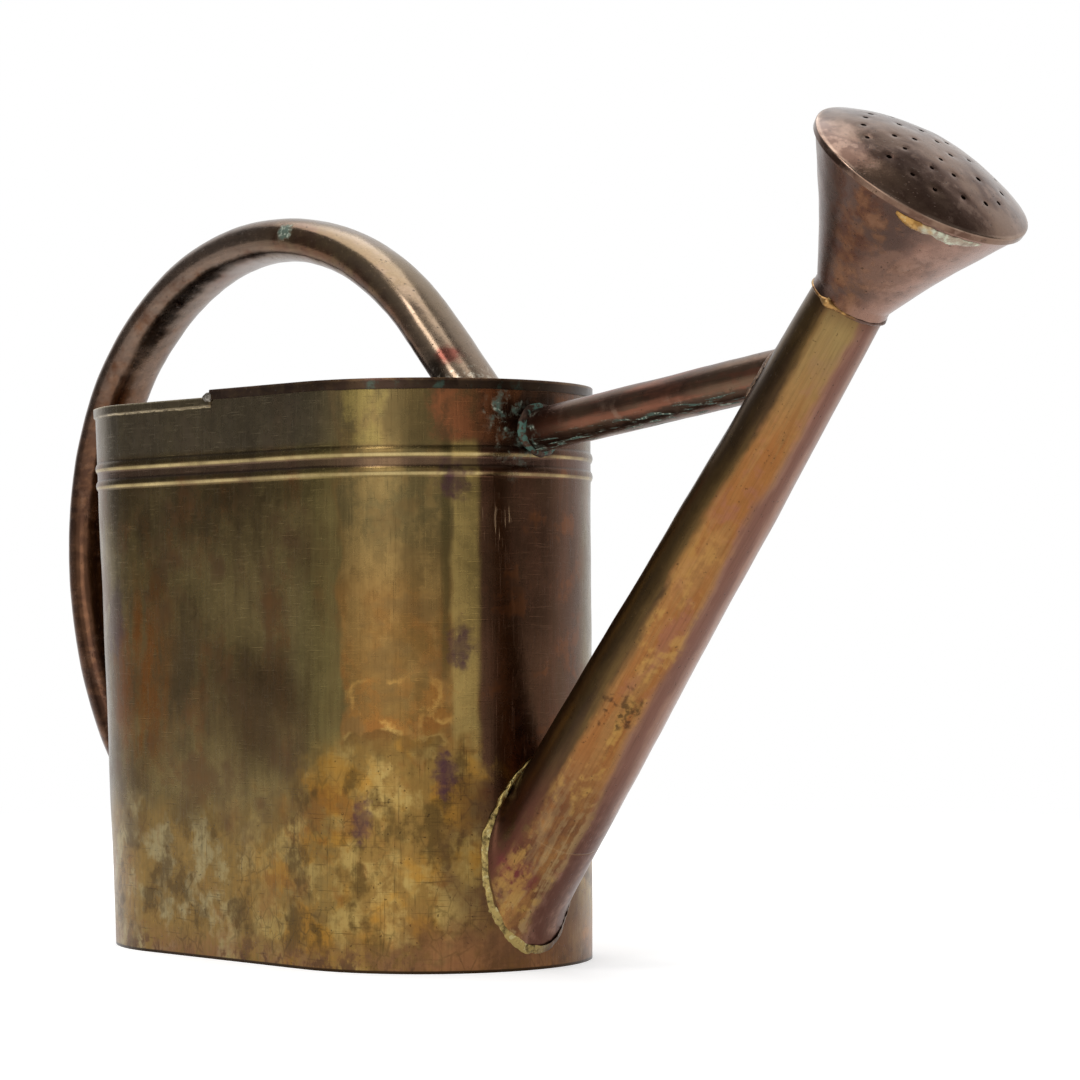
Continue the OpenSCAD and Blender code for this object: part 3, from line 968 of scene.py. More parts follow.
class Finish:
    """A material that is built up from nodes. A colour may be given as its web code."""

    def __init__(self, name):
        self.material = bpy.data.materials.new(name)
        self.material.use_nodes = True
        self.tree = self.material.node_tree
        self.tree.nodes.clear()
        self.colour = None
        self.place = self.node("TexCoord", out="Object")
        self.mm = self.scaled(self.place, (1 / MM,) * 3)
        self.x, self.y, self.z = (self.node("SeparateXYZ", {}, {0: self.mm}, out=axis) for axis in "XYZ")

    def node(self, kind, settings=None, sockets=None, out=0):
        """One node: its settings first, then the values or links of its sockets."""
        made = self.tree.nodes.new("ShaderNode" + kind)
        for name, value in (settings or {}).items():
            setattr(made, name, value)
        for name, value in (sockets or {}).items():
            if isinstance(value, Wire):
                self.tree.links.new(value.socket, made.inputs[name])
            else:
                made.inputs[name].default_value = tone(value) if isinstance(value, str) else value
        return Wire(self, made.outputs[out])

    def vector(self, operation, wire, *plain, out="Vector"):
        """Arithmetic on a wire that carries a vector, with a plain vector where it needs one."""
        sockets = dict(enumerate([wire, *(tuple(values) for values in plain)]))
        return self.node("VectorMath", {"operation": operation}, sockets, out=out)

    def scaled(self, wire, scale):
        return self.vector("MULTIPLY", wire, scale)

    def length(self, wire):
        return self.vector("LENGTH", wire, out="Value")

    def dot(self, wire, direction):
        return self.vector("DOT_PRODUCT", wire, direction, out="Value")

    def cloud(self, size, seed=0, detail=3.0, stretch=(1, 1, 1), rough=0.55, place=None):
        """Noise from about 0.2 to 0.8, with patches of this size in millimetres."""
        scale = tuple(1 / (size * s) for s in stretch)
        shift = (seed * 3.1, seed * 1.7, seed * 2.3)
        vector = self.vector("ADD", self.scaled(place or self.mm, scale), shift)
        return self.node("TexNoise", {"noise_dimensions": "3D"},
                         {"Vector": vector, "Scale": 1.0, "Detail": detail, "Roughness": rough})

    def mix(self, mask, under, over):
        """The over colour where the mask is 1, and the under colour where it is 0."""
        return self.node("Mix", {"data_type": "RGBA", "clamp_factor": True},
                         {0: mask, 6: under, 7: over}, out=2)

    def coat(self, mask, colour):
        """Lays one more colour over what is there, where the mask is 1."""
        self.colour = self.mix(mask, self.colour, colour)

    def surface(self, shader):
        """Closes the material with its shader."""
        output = self.tree.nodes.new("ShaderNodeOutputMaterial")
        self.tree.links.new(shader.socket, output.inputs["Surface"])
        return self.material

    def metal(self, roughness, metallic, height, depth=0.2):
        """Closes the material as metal of the colour so far, with its bump in millimetres."""
        bump = self.node("Bump", {}, {"Strength": 1.0, "Distance": depth * MM, "Height": height})
        return self.surface(self.node("BsdfPrincipled", {}, {
            "Base Color": self.colour, "Roughness": roughness, "Metallic": metallic, "Normal": bump}))


def tone(code):
    """A colour from its web code, as the linear values that shaders use."""
    values = [int(code[i:i + 2], 16) / 255 for i in (0, 2, 4)]
    linear = [v / 12.92 if v <= 0.04045 else ((v + 0.055) / 1.055) ** 2.4 for v in values]
    return (*linear, 1.0)


# %% [markdown]
# ## Colours of old brass and copper
# These are the tones that the metal takes as it ages: rubbed brass, brass gone ochre, olive and
# brown oxide, the maroon and plum of old heat stains, and the green and pale salts. Each is a web
# code. Tones that only one piece has are given where they are used.

# %% Palette
BRASS = "8c6e3a"
OCHRE = "7e5d31"
AMBER = "8a5a2c"
OLIVE = "7a6840"
DARK_OLIVE = "57462a"
BROWN = "5f452c"
UMBER = "352719"
MAROON = "52382a"
PLUM = "4a3038"
MAUVE = "5f473d"
VERDIGRIS = "4c6a5e"
PALE_SALT = "b4baa8"
print("palette of 12 metal tones")

# %% [markdown]
# ## Layers that several finishes share
# Fine scratches, pits and spots are the same everywhere, so they are made once. Scratches are noise
# stretched far along one direction and kept only at its crests. A spot is a distance from a place,
# made uneven by noise, so that its edge looks like a dried drop.

# %% Shared layers


def scratches(m, length, width, seed, stretch):
    """Thin lines along the stretched direction, 1 on a line."""
    lines = m.cloud(width, seed, 2.0, stretch=tuple(length / width if s else 1 for s in stretch))
    return lines.between(0.62, 0.72)


def pits(m, size, seed):
    """Small round pits, 1 in a pit."""
    return m.cloud(size, seed, 1.0).between(0.7, 0.76)


def away_from(m, place, radius, seed, wobble=0.35):
    """Uneven distance from a place, 1 at this radius in millimetres along each axis."""
    offset = m.vector("SUBTRACT", m.mm, place)
    length = m.length(m.scaled(offset, [1 / r for r in radius]))
    return length + (m.cloud(min(radius) * 0.9, seed, 4.0) - 0.5) * (4 * wobble)


def spot(m, place, radius, seed, wobble=0.35, soft=0.3):
    """A patch round a place, with an uneven edge: 1 inside."""
    return away_from(m, place, radius, seed, wobble).between(1 + soft, 1 - soft)


def band(value, start, end, soft):
    """1 between start and end, with soft edges."""
    return value.between(start - soft, start + soft) * value.between(end + soft, end - soft)


def slanted(m, angle):
    """Coordinates turned about the can's width, so that their x runs along a slanted piece."""
    return m.node("VectorRotate", {"rotation_type": "Y_AXIS"}, {"Vector": m.mm, "Angle": angle})


def round_spout(m):
    """Length along the spout's middle line, and the angle round it from its underside."""
    from_root = m.vector("SUBTRACT", m.mm, SPOUT_ROOT)
    return m.dot(from_root, ALONG_SPOUT), m.y.math("ARCTAN2", m.dot(from_root, UNDER_SPOUT))


# %% [markdown]
# ## The body's finish
# The wall shows every stage at once. Its sides are dark olive and brown in soft clouds, streaked up
# and down by the polishing cloth. Where the front end turns, an ochre field between two clear edges
# is partly brass rubbed back and partly a painted reflection of the light screen, with painted
# highlights and painted shade along its far edge and round a wavy patch low down. Low down the wall
# is mottled yellow with pits and fine scratches, and the front has a dark heat stain round the
# spout, which over the round end is partly painted shade. `run` measures the distance round the
# wall from its middle, so that these bands follow the bend.

# %% The body's zones


def wall_run(m):
    """Distance round the near side of the wall, which grows towards the spout, and the front end."""
    past_end = m.x - FRONT_X
    angle = m.y.math("ARCTAN2", past_end)
    round_end = angle * END_R + (FRONT_X + END_R * math.pi / 2)
    on_end = past_end.math("GREATER_THAN", 0.0)
    return m.x + on_end * (round_end - m.x), on_end


def body_ground(m, big, mid, fine, streak):
    """Soft clouds of olive, brown and rust over the whole wall."""
    m.colour = m.mix((big * 0.9 + streak * 0.35).between(0.5, 0.76), DARK_OLIVE, OLIVE)
    m.coat((mid + big * 0.4).between(0.68, 0.9) * 0.7, BROWN)
    rusty = (m.cloud(30, 21, 4.0, stretch=(1, 1, 2)) + fine * 0.3).between(0.65, 0.83)
    m.coat(rusty * 0.62, "6f4a27")
    orange = spot(m, (-57, -78, 138), (24, 40, 42), 22, 0.3, 0.5)
    m.coat(orange * (streak + fine * 0.4).between(0.45, 0.85) * 0.95, "724413")
    dark = spot(m, (38, -78, 122), (34, 40, 26), 23, 0.35, 0.5)
    m.coat(dark * 0.65, "4d3921")
    m.coat(spot(m, (-80, -76, 163), (9, 20, 16), 24, 0.5, 0.4) * 0.6, PLUM)


def gold_zone(m, run, near, mid, fine, streak):
    """The front corner: an olive edge, the ochre field, partly rubbed brass and partly painted reflection,
    and painted shade and highlights at its edges.
    """
    wave = (m.cloud(26, 25, 3.0, stretch=(1, 1, 1.6)) - 0.5) * 26
    left = run + wave
    olive = band(left, 68, 93, 5) * m.z.between(70, 105) * near
    m.coat(olive * (0.5 + (streak - 0.5) * 1.4).clip(), "75683f")
    # The ochre field is partly brass rubbed back and partly a painted reflection of the light screen.
    field = left.between(90, 94) * run.between(162, 158) * near
    m.coat(field * (0.86 + (fine - 0.5) * 0.8).clip(), OCHRE)
    m.coat(field * m.z.between(155, 215) * 0.9, "5f5335")
    warm = field * (mid + fine * 0.4).between(0.6, 0.78) * m.z.between(190, 130)
    m.coat(warm * 0.7, AMBER)
    light = field * (m.cloud(13, 48, 4.0, stretch=(1, 1, 2.4)) + fine * 0.5).between(0.68, 0.92)
    m.coat(light * 0.35, "9c7f4c")
    shade = field * (m.cloud(17, 26, 4.0, stretch=(1.6, 1.6, 1)) + fine * 0.3).between(0.62, 0.78)
    m.coat(shade * 0.55, "665030")
    # Along the field's far edge a dark line is painted shade and the pale band beside it is a painted
    # highlight.
    line = band(run + (streak - 0.5) * 5, 142.5, 146, 1.2) * m.z.between(120, 150) * near
    m.coat(line * 0.6, "4c4226")
    stripe = band(run + (streak - 0.5) * 6 + (mid - 0.5) * 7, 147, 160, 1.6) * near
    m.coat(stripe * (0.4 + fine * 0.7).clip(), "a48b52")
    # Round a wavy patch low in the field, the broken pale edges are painted highlights and the darker patch
    # under it is painted shade.
    drip_and_highlight = away_from(m, (116, -62, 124), (24, 30, 12), 27, 0.5)
    inside = drip_and_highlight.between(1.05, 0.9) * field
    m.coat(inside * (mid + fine * 0.5).between(0.6, 0.9) * 0.6, "8f632f")
    broken = m.cloud(12, 49, 3.0).between(0.44, 0.6)
    edge = band(drip_and_highlight, 0.8, 1.02, 0.14) * field * broken * m.z.between(146, 120)
    m.coat(edge * 0.85, "b58c4c")
    below = away_from(m, (112, -66, 100), (26, 30, 11), 28, 0.5)
    m.coat(below.between(1.05, 0.8) * field * 0.6, "564225")
    m.coat(band(below, 0.9, 1.06, 0.1) * field * broken * 0.6, "a0844c")
    return field


def low_zone(m, run, big, mid, fine):
    """The mottled, scratched and pitted foot of the wall."""
    line = run.between(30, 95) * run.between(170, 150) * 34
    height = m.z - line + (mid - 0.5) * 75 + (fine - 0.5) * 30 + (big - 0.5) * 40
    low = height.between(84, 52)
    tiny = m.cloud(2.6, 52, 4.0, stretch=(1, 1, 1.5))
    m.coat(low * (0.75 + (fine - 0.5) * 1.2 + (tiny - 0.5) * 1.2).clip(), BRASS)
    pale = low * (m.cloud(17, 29, 5.0) + fine * 0.45).between(0.68, 0.84)
    pale_tone = m.mix(run.between(-10, 50), "a49a74", "b39a5c")
    m.coat(pale * 0.55, pale_tone)
    golden = low * (m.cloud(26, 50, 4.0) + fine * 0.3).between(0.62, 0.76) * run.between(0, 70)
    m.coat(golden * 0.75, "a3742c")
    rusty = low * (m.cloud(24, 54, 5.0) + fine * 0.4).between(0.74, 0.88)
    m.coat(rusty * 0.6, "7b4f27")
    brown = low * (m.cloud(19, 30, 5.0, stretch=(1, 1, 1.5)) + fine * 0.45).between(0.7, 0.86)
    m.coat(brown * 0.85, "5a4525")
    hatch = scratches(m, 24, 0.6, 31, (0, 0, 1)).highest(scratches(m, 18, 0.6, 32, (1, 1, 0)))
    m.coat(hatch * low * 0.45, UMBER)
    pit = pits(m, 1.5, 33) * height.between(110, 40)
    m.coat(pit * 0.6, UMBER)
    strip = (m.z + (fine - 0.5) * 12 + (mid - 0.5) * 26).between(18, 0)
    m.coat(strip * (mid * 0.6 + fine * 0.7 + tiny * 0.5).between(0.72, 1.05), "865f42")
    foot = (m.z + (mid - 0.5) * 60 + (fine - 0.5) * 20).between(34, 12) * run.between(105, 150)
    foot_tone = m.mix((mid + fine * 0.5).between(0.64, 0.84), "65452f", "8d6140")
    m.coat(foot * 0.8, foot_tone)
    m.coat(strip * (big * 0.6 + fine * 0.7 + tiny * 0.4).between(0.86, 1.0) * 0.7, "4d3a28")
    cells = {"Vector": m.scaled(m.mm, (0.14, 0.14, 0.1)), "Scale": 1.0}
    from_crack = m.node("TexVoronoi", {"feature": "DISTANCE_TO_EDGE"}, cells) + (fine - 0.5) * 0.2
    crack = from_crack.between(0.06, 0.01) * low * mid.between(0.45, 0.6)
    m.coat(crack * 0.4, "4a3a22")
    # The wall is darker along its very bottom edge.
    m.coat(m.z.between(1.6, 1.1), UMBER)
    return low, pit, hatch


# %% Stains, rim and small marks of the body
OXIDE_SPOTS = [((137, -40, 150), (5, 6, 10), 37, 0.6), ((133, -46, 91), (4, 6, 10), 38, 0.6),
               ((103, -71, 70), (4, 6, 9), 39, 0.6), ((136, -42, 226), (6, 8, 7), 40, 0.7)]


def front_stain_and_shade(m, run, on_end, mid, fine, streak):
    """A maroon stain over the round front end, redder in patches: partly a heat stain and partly painted
    shade.
    """
    far_edge = m.y + (mid - 0.5) * 16 + m.z.between(130, 90) * 24
    # The maroon over the round end is partly heat stain and partly painted shade, the dark reflection of the
    # room.
    stain = on_end * run.between(157.5, 162.5) * far_edge.between(44, 26)
    m.coat(stain * 0.92, MAROON)
    m.coat(stain * (streak + mid * 0.5).between(0.66, 0.88) * 0.6, "5f4030")
    m.coat(stain * (mid + fine * 0.5).between(0.78, 0.92) * 0.5, "7a4a28")


def rim_tones(m, run, on_end, field, mid, fine):
    """Dull, plain, yellow and red stretches above the beads, and painted highlight and shade lines along the
    beads and the hem.
    """
    top = m.z.between(241, 246)
    m.coat(top * band(run, -130, 88, 14) * 0.7, "6a5f4d")
    blotch = m.cloud(11, 51, 5.0, stretch=(1, 1, 1.6)) + fine * 0.4
    ragged = run + (mid - 0.5) * 22 + (fine - 0.5) * 12
    m.coat(top * band(ragged, 118, 142, 4) * 0.75, "5f4f31")
    m.coat(top * band(ragged, 96, 116, 3) * blotch.between(0.52, 0.78) * 0.8, "8a7845")
    red = on_end * band(ragged, 140, 178, 5) * m.z.between(242, 247)
    m.coat(red * 0.8, "68452f")
    m.coat(red * blotch.between(0.52, 0.74), "8d5838")
    m.coat(band(m.z, 232.6, 237.2, 0.5) * 0.65, MAUVE)
    # The pale lines under each bead are painted highlights, stronger over the ochre field and towards the
    # back end.
    worn = (m.cloud(20, 35, 4.0) - 0.3) * 1.9 + field * 0.3 + run.between(40, -20) * 0.3
    upper, lower = (band(m.z, bead - 2.0, bead - 0.6, 0.35) for bead in BEADS)
    lines = upper.highest(lower) * worn.clip()
    m.coat(lines * 0.9, "bba674")
    # The dark lines just above the beads are painted shade.
    over = band(m.z, 241.6, 242.6, 0.4).highest(band(m.z, 232.8, 233.6, 0.4))
    m.coat(over * 0.5, UMBER)
    # Along the back half, a pale line at the hem's lower edge and a paler one on the rim's top are painted
    # highlights.
    back_rim = m.x.between(1, -1)
    rim_line = m.z + (m.cloud(5, 36, 4.0) - 0.5) * 3
    fold = band(rim_line, 264.7, 265.4, 0.25) * m.cloud(7, 53, 3.0).between(0.35, 0.55) * 0.65
    m.coat(fold * back_rim, "a89878")
    m.coat(m.z.between(268.9, 269.6) * back_rim * 0.85, "c0b192")


def small_marks(m, fine):
    """Purple spots, the dark and green root of the brace, and a few scratches under the beads."""
    oxide = [spot(m, *size, 0.5) for size in OXIDE_SPOTS]
    m.coat(oxide[0].highest(*oxide[1:]) * (fine + 0.15).clip() * 1.1, PLUM)
    m.coat(spot(m, (148, -4, 252), (14, 24, 15), 41, 0.4, 0.5) * 0.85, "2c2019")
    crystals = m.cloud(6, 43, 6.0, rough=0.65).between(0.46, 0.64)
    salts = spot(m, (145, -17, 253), (10, 10, 17), 42, 0.5, 0.6) * crystals
    m.coat(salts * 0.85, VERDIGRIS)
    m.coat(salts * m.cloud(2.0, 44, 4.0).between(0.56, 0.66), PALE_SALT)
    nick = scratches(m, 16, 0.8, 45, (0, 0, 1)) * spot(m, (144, -23, 208), (8, 8, 12), 46, 0.2, 0.3)
    m.coat(nick, "a4896a")
    return salts, nick


# %% The body's finish


def body_finish():
    m = Finish("tarnished_body_brass")
    run, on_end = wall_run(m)
    near = m.y.between(30, -10)
    big, mid, fine = m.cloud(62, 1, 4.0), m.cloud(22, 2, 5.0), m.cloud(6, 3, 6.0, rough=0.62)
    streak = m.cloud(7, 4, 5.0, stretch=(1, 1, 6), rough=0.6)
    brush = m.cloud(1.1, 5, 2.0, stretch=(1, 1, 45))
    body_ground(m, big, mid, fine, streak)
    field = gold_zone(m, run, near, mid, fine, streak)
    front_stain_and_shade(m, run, on_end, mid, fine, streak)
    low, pit, hatch = low_zone(m, run, big, mid, fine)
    round_root = spot(m, (138, 0, 52), (40, 44, 48), 34, 0.3, 0.35)
    m.coat(round_root * (mid + fine * 0.4).between(0.5, 0.7) * 0.8, MAROON)
    rim_tones(m, run, on_end, field, mid, fine)
    salts, nick = small_marks(m, fine)
    m.coat((brush - 0.5) * 0.5 + 0.03, UMBER)

    roughness = 0.27 + (fine - 0.5) * 0.2 + (mid - 0.5) * 0.14 + low * 0.07 + salts * 0.4
    bump = fine * 0.3 + brush * 0.1 + streak * 0.25 - pit * 0.5 - hatch * 0.15 - nick * 0.4
    bump = bump + salts * m.cloud(1.5, 47, 4.0) * 1.2 - field * 0.25
    return m.metal(roughness, 1 - salts * 0.9, bump)


body_brass = body_finish()
print("body finish:", len(body_brass.node_tree.nodes), "nodes")

# %% [markdown]
# ## A general finish for the copper pieces
# The handle, brace, cover and base share one recipe with other tones: a ground of two oxides in
# patches, a third tone in streaks along the piece, worn high spots, and small salts. `along` turns
# the coordinates so that the streaks follow a slanted piece, and `part` adds what only one piece has.

# %% General finish
FULL_METAL = 0.97


def oxide_finish(name, ground, patch, streaks, worn, seed, shine, along=0.0, worn_share=0.5,
                 salts=None, part=None, drawn=1.0):
    """Metal under oxide: salts gives a mask, part lays more coats, drawn draws out the streaks."""
    m = Finish(name)
    place = slanted(m, along)
    big, mid = m.cloud(48, seed + 1, 3.0, place=place), m.cloud(18, seed + 2, 4.0, place=place)
    fine = m.cloud(5, seed + 3, 4.0, place=place)
    streak = m.cloud(5, seed + 4, 4.0, stretch=(1 + 8 * drawn, 1, 1), place=place)
    grain = m.cloud(0.9, seed + 5, 2.0, stretch=(1 + 21 * drawn, 1, 1), place=place)
    m.colour = m.mix((big + mid * 0.5).between(0.6, 0.9), ground, patch)
    m.coat((streak + fine * 0.3).between(0.58, 0.78) * 0.75, streaks)
    m.coat((mid + fine * 0.6).between(0.84, 1.05) * worn_share, worn)
    if part:
        part(m, mid, fine)
    m.coat((grain - 0.5) * 0.6 + 0.04, UMBER)
    pit = pits(m, 1.6, seed + 6)
    m.coat(pit * 0.6, UMBER)
    roughness = shine + (fine - 0.5) * 0.2 + (mid - 0.5) * 0.14
    metallic = FULL_METAL
    bump = fine * 0.3 + grain * 0.1 - pit * 0.4
    if salts:
        crust = salts(m)
        m.coat(crust * 0.9, VERDIGRIS)
        m.coat(crust * m.cloud(1.8, seed + 7, 4.0).between(0.52, 0.62), PALE_SALT)
        roughness = roughness + crust * 0.4
        metallic = FULL_METAL - crust * 0.85
        bump = bump + crust * m.cloud(1.2, seed + 8, 4.0)
    return m.metal(roughness, metallic, bump)


# %% What each copper piece adds
HOOP_MIDDLE = (-47.5, 0, 198.6)


def handle_salts(m):
    """A green spot on the crown of the hoop."""
    return spot(m, (-22, -13, 356), (5, 6, 4), 3, 0.4) * 0.8


def handle_marks(m, mid, fine):
    """The outer side of the right leg is painted pale as a reflection of the backdrop, the upper left
    is greyer in patches that are partly rubbed metal and partly painted reflection, and the crown is
    rubbed paler. The foot has red, soot and pale flux.
    """
    # The outer side of the right leg is a painted reflection of the white backdrop.
    from_middle = m.vector("SUBTRACT", m.mm, HOOP_MIDDLE)
    out = m.length(m.scaled(from_middle, (1, 0, 1))) + (mid - 0.5) * 8
    leg = m.x.between(-40, 60) * out.between(154, 162)
    m.coat(leg * 0.75, "96836f")
    red = spot(m, (97, -12, 288), (6, 8, 5), 11, 0.4, 0.5)
    m.coat(red * 0.75, "6e2620")
    sooty = spot(m, (90, -13, 277), (9, 16, 10), 12, 0.5, 0.5)
    m.coat(sooty * 0.85, "2a221c")
    foot = spot(m, (104, -10, 273), (24, 22, 8), 5, 0.5) * m.cloud(2.6, 6, 4.0).between(0.54, 0.62)
    m.coat(foot * 0.9, "b9ad9b")
    # Greyer patches on the upper left are partly rubbed metal and partly painted reflection.
    grey = m.z.between(230, 330) * m.x.between(0, -60) * (mid + fine * 0.5).between(0.5, 0.8)
    m.coat(grey * 0.6, "7d6e62")
    rubbed = m.z.between(285, 340) * m.x.between(-70, 10) * (mid + fine * 0.5).between(0.55, 0.85)
    m.coat(rubbed * 0.45, "7d6a48")


def above_brace(m):
    """Height over the middle line of the slanted brace."""
    return m.z - m.x * math.tan(BRACE_ANGLE) - (BRACE_ROOT[2] - BRACE_ROOT[0] * math.tan(BRACE_ANGLE))


def brace_salts(m):
    """A green line along the underside, and a crust at the root."""
    line = above_brace(m).between(-3.5, -8) * m.cloud(1.6, 7, 5.0, stretch=(9, 1, 1)).between(0.53, 0.64)
    return line.highest(m.x.between(162, 150) * m.cloud(6, 8, 6.0, rough=0.65).between(0.5, 0.66))


def brace_marks(m, mid, fine):
    """The root is stained red-brown, and the line of the salts is dark."""
    m.coat(m.x.between(186, 158) * 0.7, "4e2a20")
    m.coat(band(above_brace(m) + (fine - 0.5) * 2, -9, -5, 0.8) * 0.6, "2e2620")


def cover_marks(m, mid, fine):
    """The turned-down edge is nearly black where it was soldered, with a green crust in front."""
    skirt = m.z.between(COVER_TOP - 0.6, COVER_TOP - 1.6)
    front = m.x.between(70, 125)
    m.coat(skirt * (0.3 + mid * 0.5 + front * 0.3).clip(), "33271f")
    crust = front * skirt * m.cloud(9, 84, 6.0, rough=0.65).between(0.52, 0.66) * m.y.between(10, -20)
    m.coat(crust * 0.5, VERDIGRIS)
    m.coat(m.z.between(COVER_TOP - 4.2, COVER_TOP - 4.8) * 0.35, "2b211a")


# %% Finishes of the handle, brace, cover and base
handle_copper = oxide_finish("handle_copper_oxide", "5e412f", "4b3327", "6d4c37", "7f6250", seed=50,
                             shine=0.24, worn_share=0.4, salts=handle_salts, part=handle_marks)
brace_copper = oxide_finish("brace_copper_oxide", "67503f", "513a2e", "7a4d3b", "8f7866", seed=60,
                            shine=0.33, along=BRACE_ANGLE, worn_share=0.45, salts=brace_salts,
                            part=brace_marks)
cover_copper = oxide_finish("cover_copper_oxide", "5f493a", "513a30", "6f563c", "857050", seed=70,
                            shine=0.33, part=cover_marks, drawn=0.08)
base_brass = oxide_finish("base_brass_dull", "574831", "4a3927", "66522f", "7d683d", seed=80,
                          shine=0.45, worn_share=0.4, drawn=0.08)
print("copper finishes made")

# %% [markdown]
# ## The finish of the rose
# The rose was hotter in the fire than the rest, so it has gone mauve and brown. Its cone has a dark
# band down the near side, orange stains in the middle and a pinker flank, and its face was polished
# by handling and has a painted highlight along its rim edge. Both pieces share one function, in which
# `cone` says which it is.

# %% The rose's finish


def rose_finish(name, ground, patch, worn, shine, cone, seed):
    """The rose's metal. cone is 1 for the cone's bands and 0 for the painted highlight on the face's rim
    edge.
    """
    m = Finish(name)
    place = slanted(m, SPOUT_ANGLE)
    length, side = round_spout(m)
    big, mid = m.cloud(34, seed, 3.0, place=place), m.cloud(13, seed + 1, 4.0, place=place)
    fine = m.cloud(4, seed + 2, 4.0, place=place)
    grain = m.cloud(0.8, seed + 3, 2.0, stretch=(14, 1, 1), place=place)
    m.colour = m.mix((big + mid * 0.5).between(0.66, 0.82), ground, patch)
    m.coat((mid + fine * 0.5).between(0.78, 0.92) * 0.45, worn)
    turn = side + (mid - 0.5) * 0.7
    dark = band(turn, -2.1, -1.1, 0.2) * cone
    m.coat(dark * 0.85, "47291c")
    smoky = (m.cloud(10, seed + 5, 4.0) + big * 0.4).between(0.62, 0.8) * cone
    m.coat(smoky * 0.75, "4f3e37")
    orange = band(turn, -1.5, -0.5, 0.3) * (mid + fine * 0.35).between(0.6, 0.85) * cone
    m.coat(orange * 0.5, "7f5535")
    pink = band(turn, -0.6, 0.9, 0.3) * (big + fine * 0.4).between(0.45, 0.75) * cone
    m.coat(pink * 0.75, "947263")
    # A pale line along the face's rim edge is a painted highlight.
    rim = SPOUT_LENGTH + FACE_ALONG
    edge = band(length, rim - 0.7, rim + 0.5, 0.3) * (1 - cone)
    m.coat(edge * mid.between(0.3, 0.7) * 0.8, "a88f7d")
    m.coat((grain - 0.5) * 0.5, UMBER)
    pit = pits(m, 1.5, seed + 4)
    m.coat(pit * 0.6, UMBER)
    roughness = shine + (fine - 0.5) * 0.18 + (mid - 0.5) * 0.12
    return m.metal(roughness, FULL_METAL, fine * 0.3 + grain * 0.1 - pit * 0.4)


rose_copper = rose_finish("rose_copper_oxide", "6f5447", "543c33", "8a7062", shine=0.27, cone=1.0, seed=90)
rose_face_copper = rose_finish("rose_face_copper_oxide", "7c6353", "5c4438", "9c8171", shine=0.2, cone=0.0,
                               seed=96)

# %% [markdown]
# ## The spout's finish
# The spout is brass that has been heated at both ends. Its upper flank is dark olive, a streaky
# brass band runs down the near side, and its underside has gone pink and mauve.

# %% The spout's finish


def spout_finish():
    m = Finish("spout_streaked_brass")
    place = slanted(m, SPOUT_ANGLE)
    length, side = round_spout(m)
    big = m.cloud(42, 101, 4.0, stretch=(2, 1, 1), place=place)
    mid = m.cloud(12, 102, 5.0, stretch=(2, 1, 1), place=place)
    fine = m.cloud(4, 103, 5.0, place=place)
    streak = m.cloud(4.5, 104, 4.0, stretch=(11, 1, 1), place=place)
    grain = m.cloud(0.9, 105, 2.0, stretch=(28, 1, 1), place=place)
    turn = side + (big - 0.5) * 0.7 + (mid - 0.5) * 0.35

    m.colour = m.mix((big + streak * 0.5).between(0.55, 0.85), "483624", "604a2b")
    brass_band = band(turn, -1.3, -0.35, 0.12)
    m.coat(brass_band * (0.85 + (fine - 0.5) * 0.8).clip(), "966a3e")
    m.coat(brass_band * (streak + mid * 0.4).between(0.62, 0.8) * 0.6, "87532b")
    flushed = band(turn, -1.2, 0.2, 0.3) * (mid + fine * 0.4).between(0.68, 0.86) * length.between(60, 130)
    m.coat(flushed * 0.6, "8a5a48")
    m.coat(brass_band * length.between(235, 300) * 0.7, "85754c")
    pink = band(turn, -0.4, 1.3, 0.16)
    m.coat(pink * 0.85, "8c6858")
    mauve = band(turn + (streak - 0.5) * 0.5, -0.3, 0.15, 0.12)
    m.coat(mauve * 0.6, "5c3a33")
    low_end = length.between(75, 15)
    m.coat(low_end * (mid + fine * 0.4).between(0.5, 0.75) * 0.75, "4f3026")
    m.coat(low_end * brass_band * (streak + fine * 0.5).between(0.7, 0.85) * 0.7, "9a8058")
    smoked = length.between(60, 10) * band(turn, -1.7, -0.75, 0.25) * (mid + fine * 0.5).between(0.5, 0.8)
    m.coat(smoked * 0.7, "573328")
    red = spot(m, (154, -20, 45), (8, 10, 9), 106, 0.5, 0.5)
    m.coat(red * 0.7, "652c30")
    golden = m.cloud(14, 109, 4.0, stretch=(2.5, 1, 1), place=place) + fine * 0.5
    m.coat(brass_band * golden.between(0.74, 0.9) * length.between(250, 120) * 0.6, "a88345")
    ring = band(length + (fine - 0.5) * 1.4, 14.4, 15.1, 0.35) * band(side, -1.0, 0.8, 0.3)
    m.coat(ring * 0.2, "a08560")
    stain = spot(m, (217, -17, 121), (9, 7, 10), 107, 0.8, 0.4) * (fine + mid * 0.5).between(0.7, 0.85)
    m.coat(stain * 0.75, "3d2a1e")
    m.coat(length.between(296, 308) * 0.5, "4b3022")
    m.coat((grain - 0.5) * 0.7 + 0.03, UMBER)
    pit = pits(m, 1.6, 108)
    m.coat(pit * 0.5, UMBER)
    roughness = 0.31 + (fine - 0.5) * 0.2 + (mid - 0.5) * 0.12 + stain * 0.15
    bump = fine * 0.3 + grain * 0.12 + streak * 0.25 - pit * 0.4 - ring * 0.5
    return m.metal(roughness, FULL_METAL, bump)


spout_brass = spout_finish()
print("spout finish:", len(spout_brass.node_tree.nodes), "nodes")

# %% [markdown]
# ## Solder finishes
# Solder is duller and paler than the sheet, with flux and dirt in its hollows. All its kinds share
# one recipe: a metal tone, a dirt tone in the low places and grains of pale salts.

# %% Solder finishes


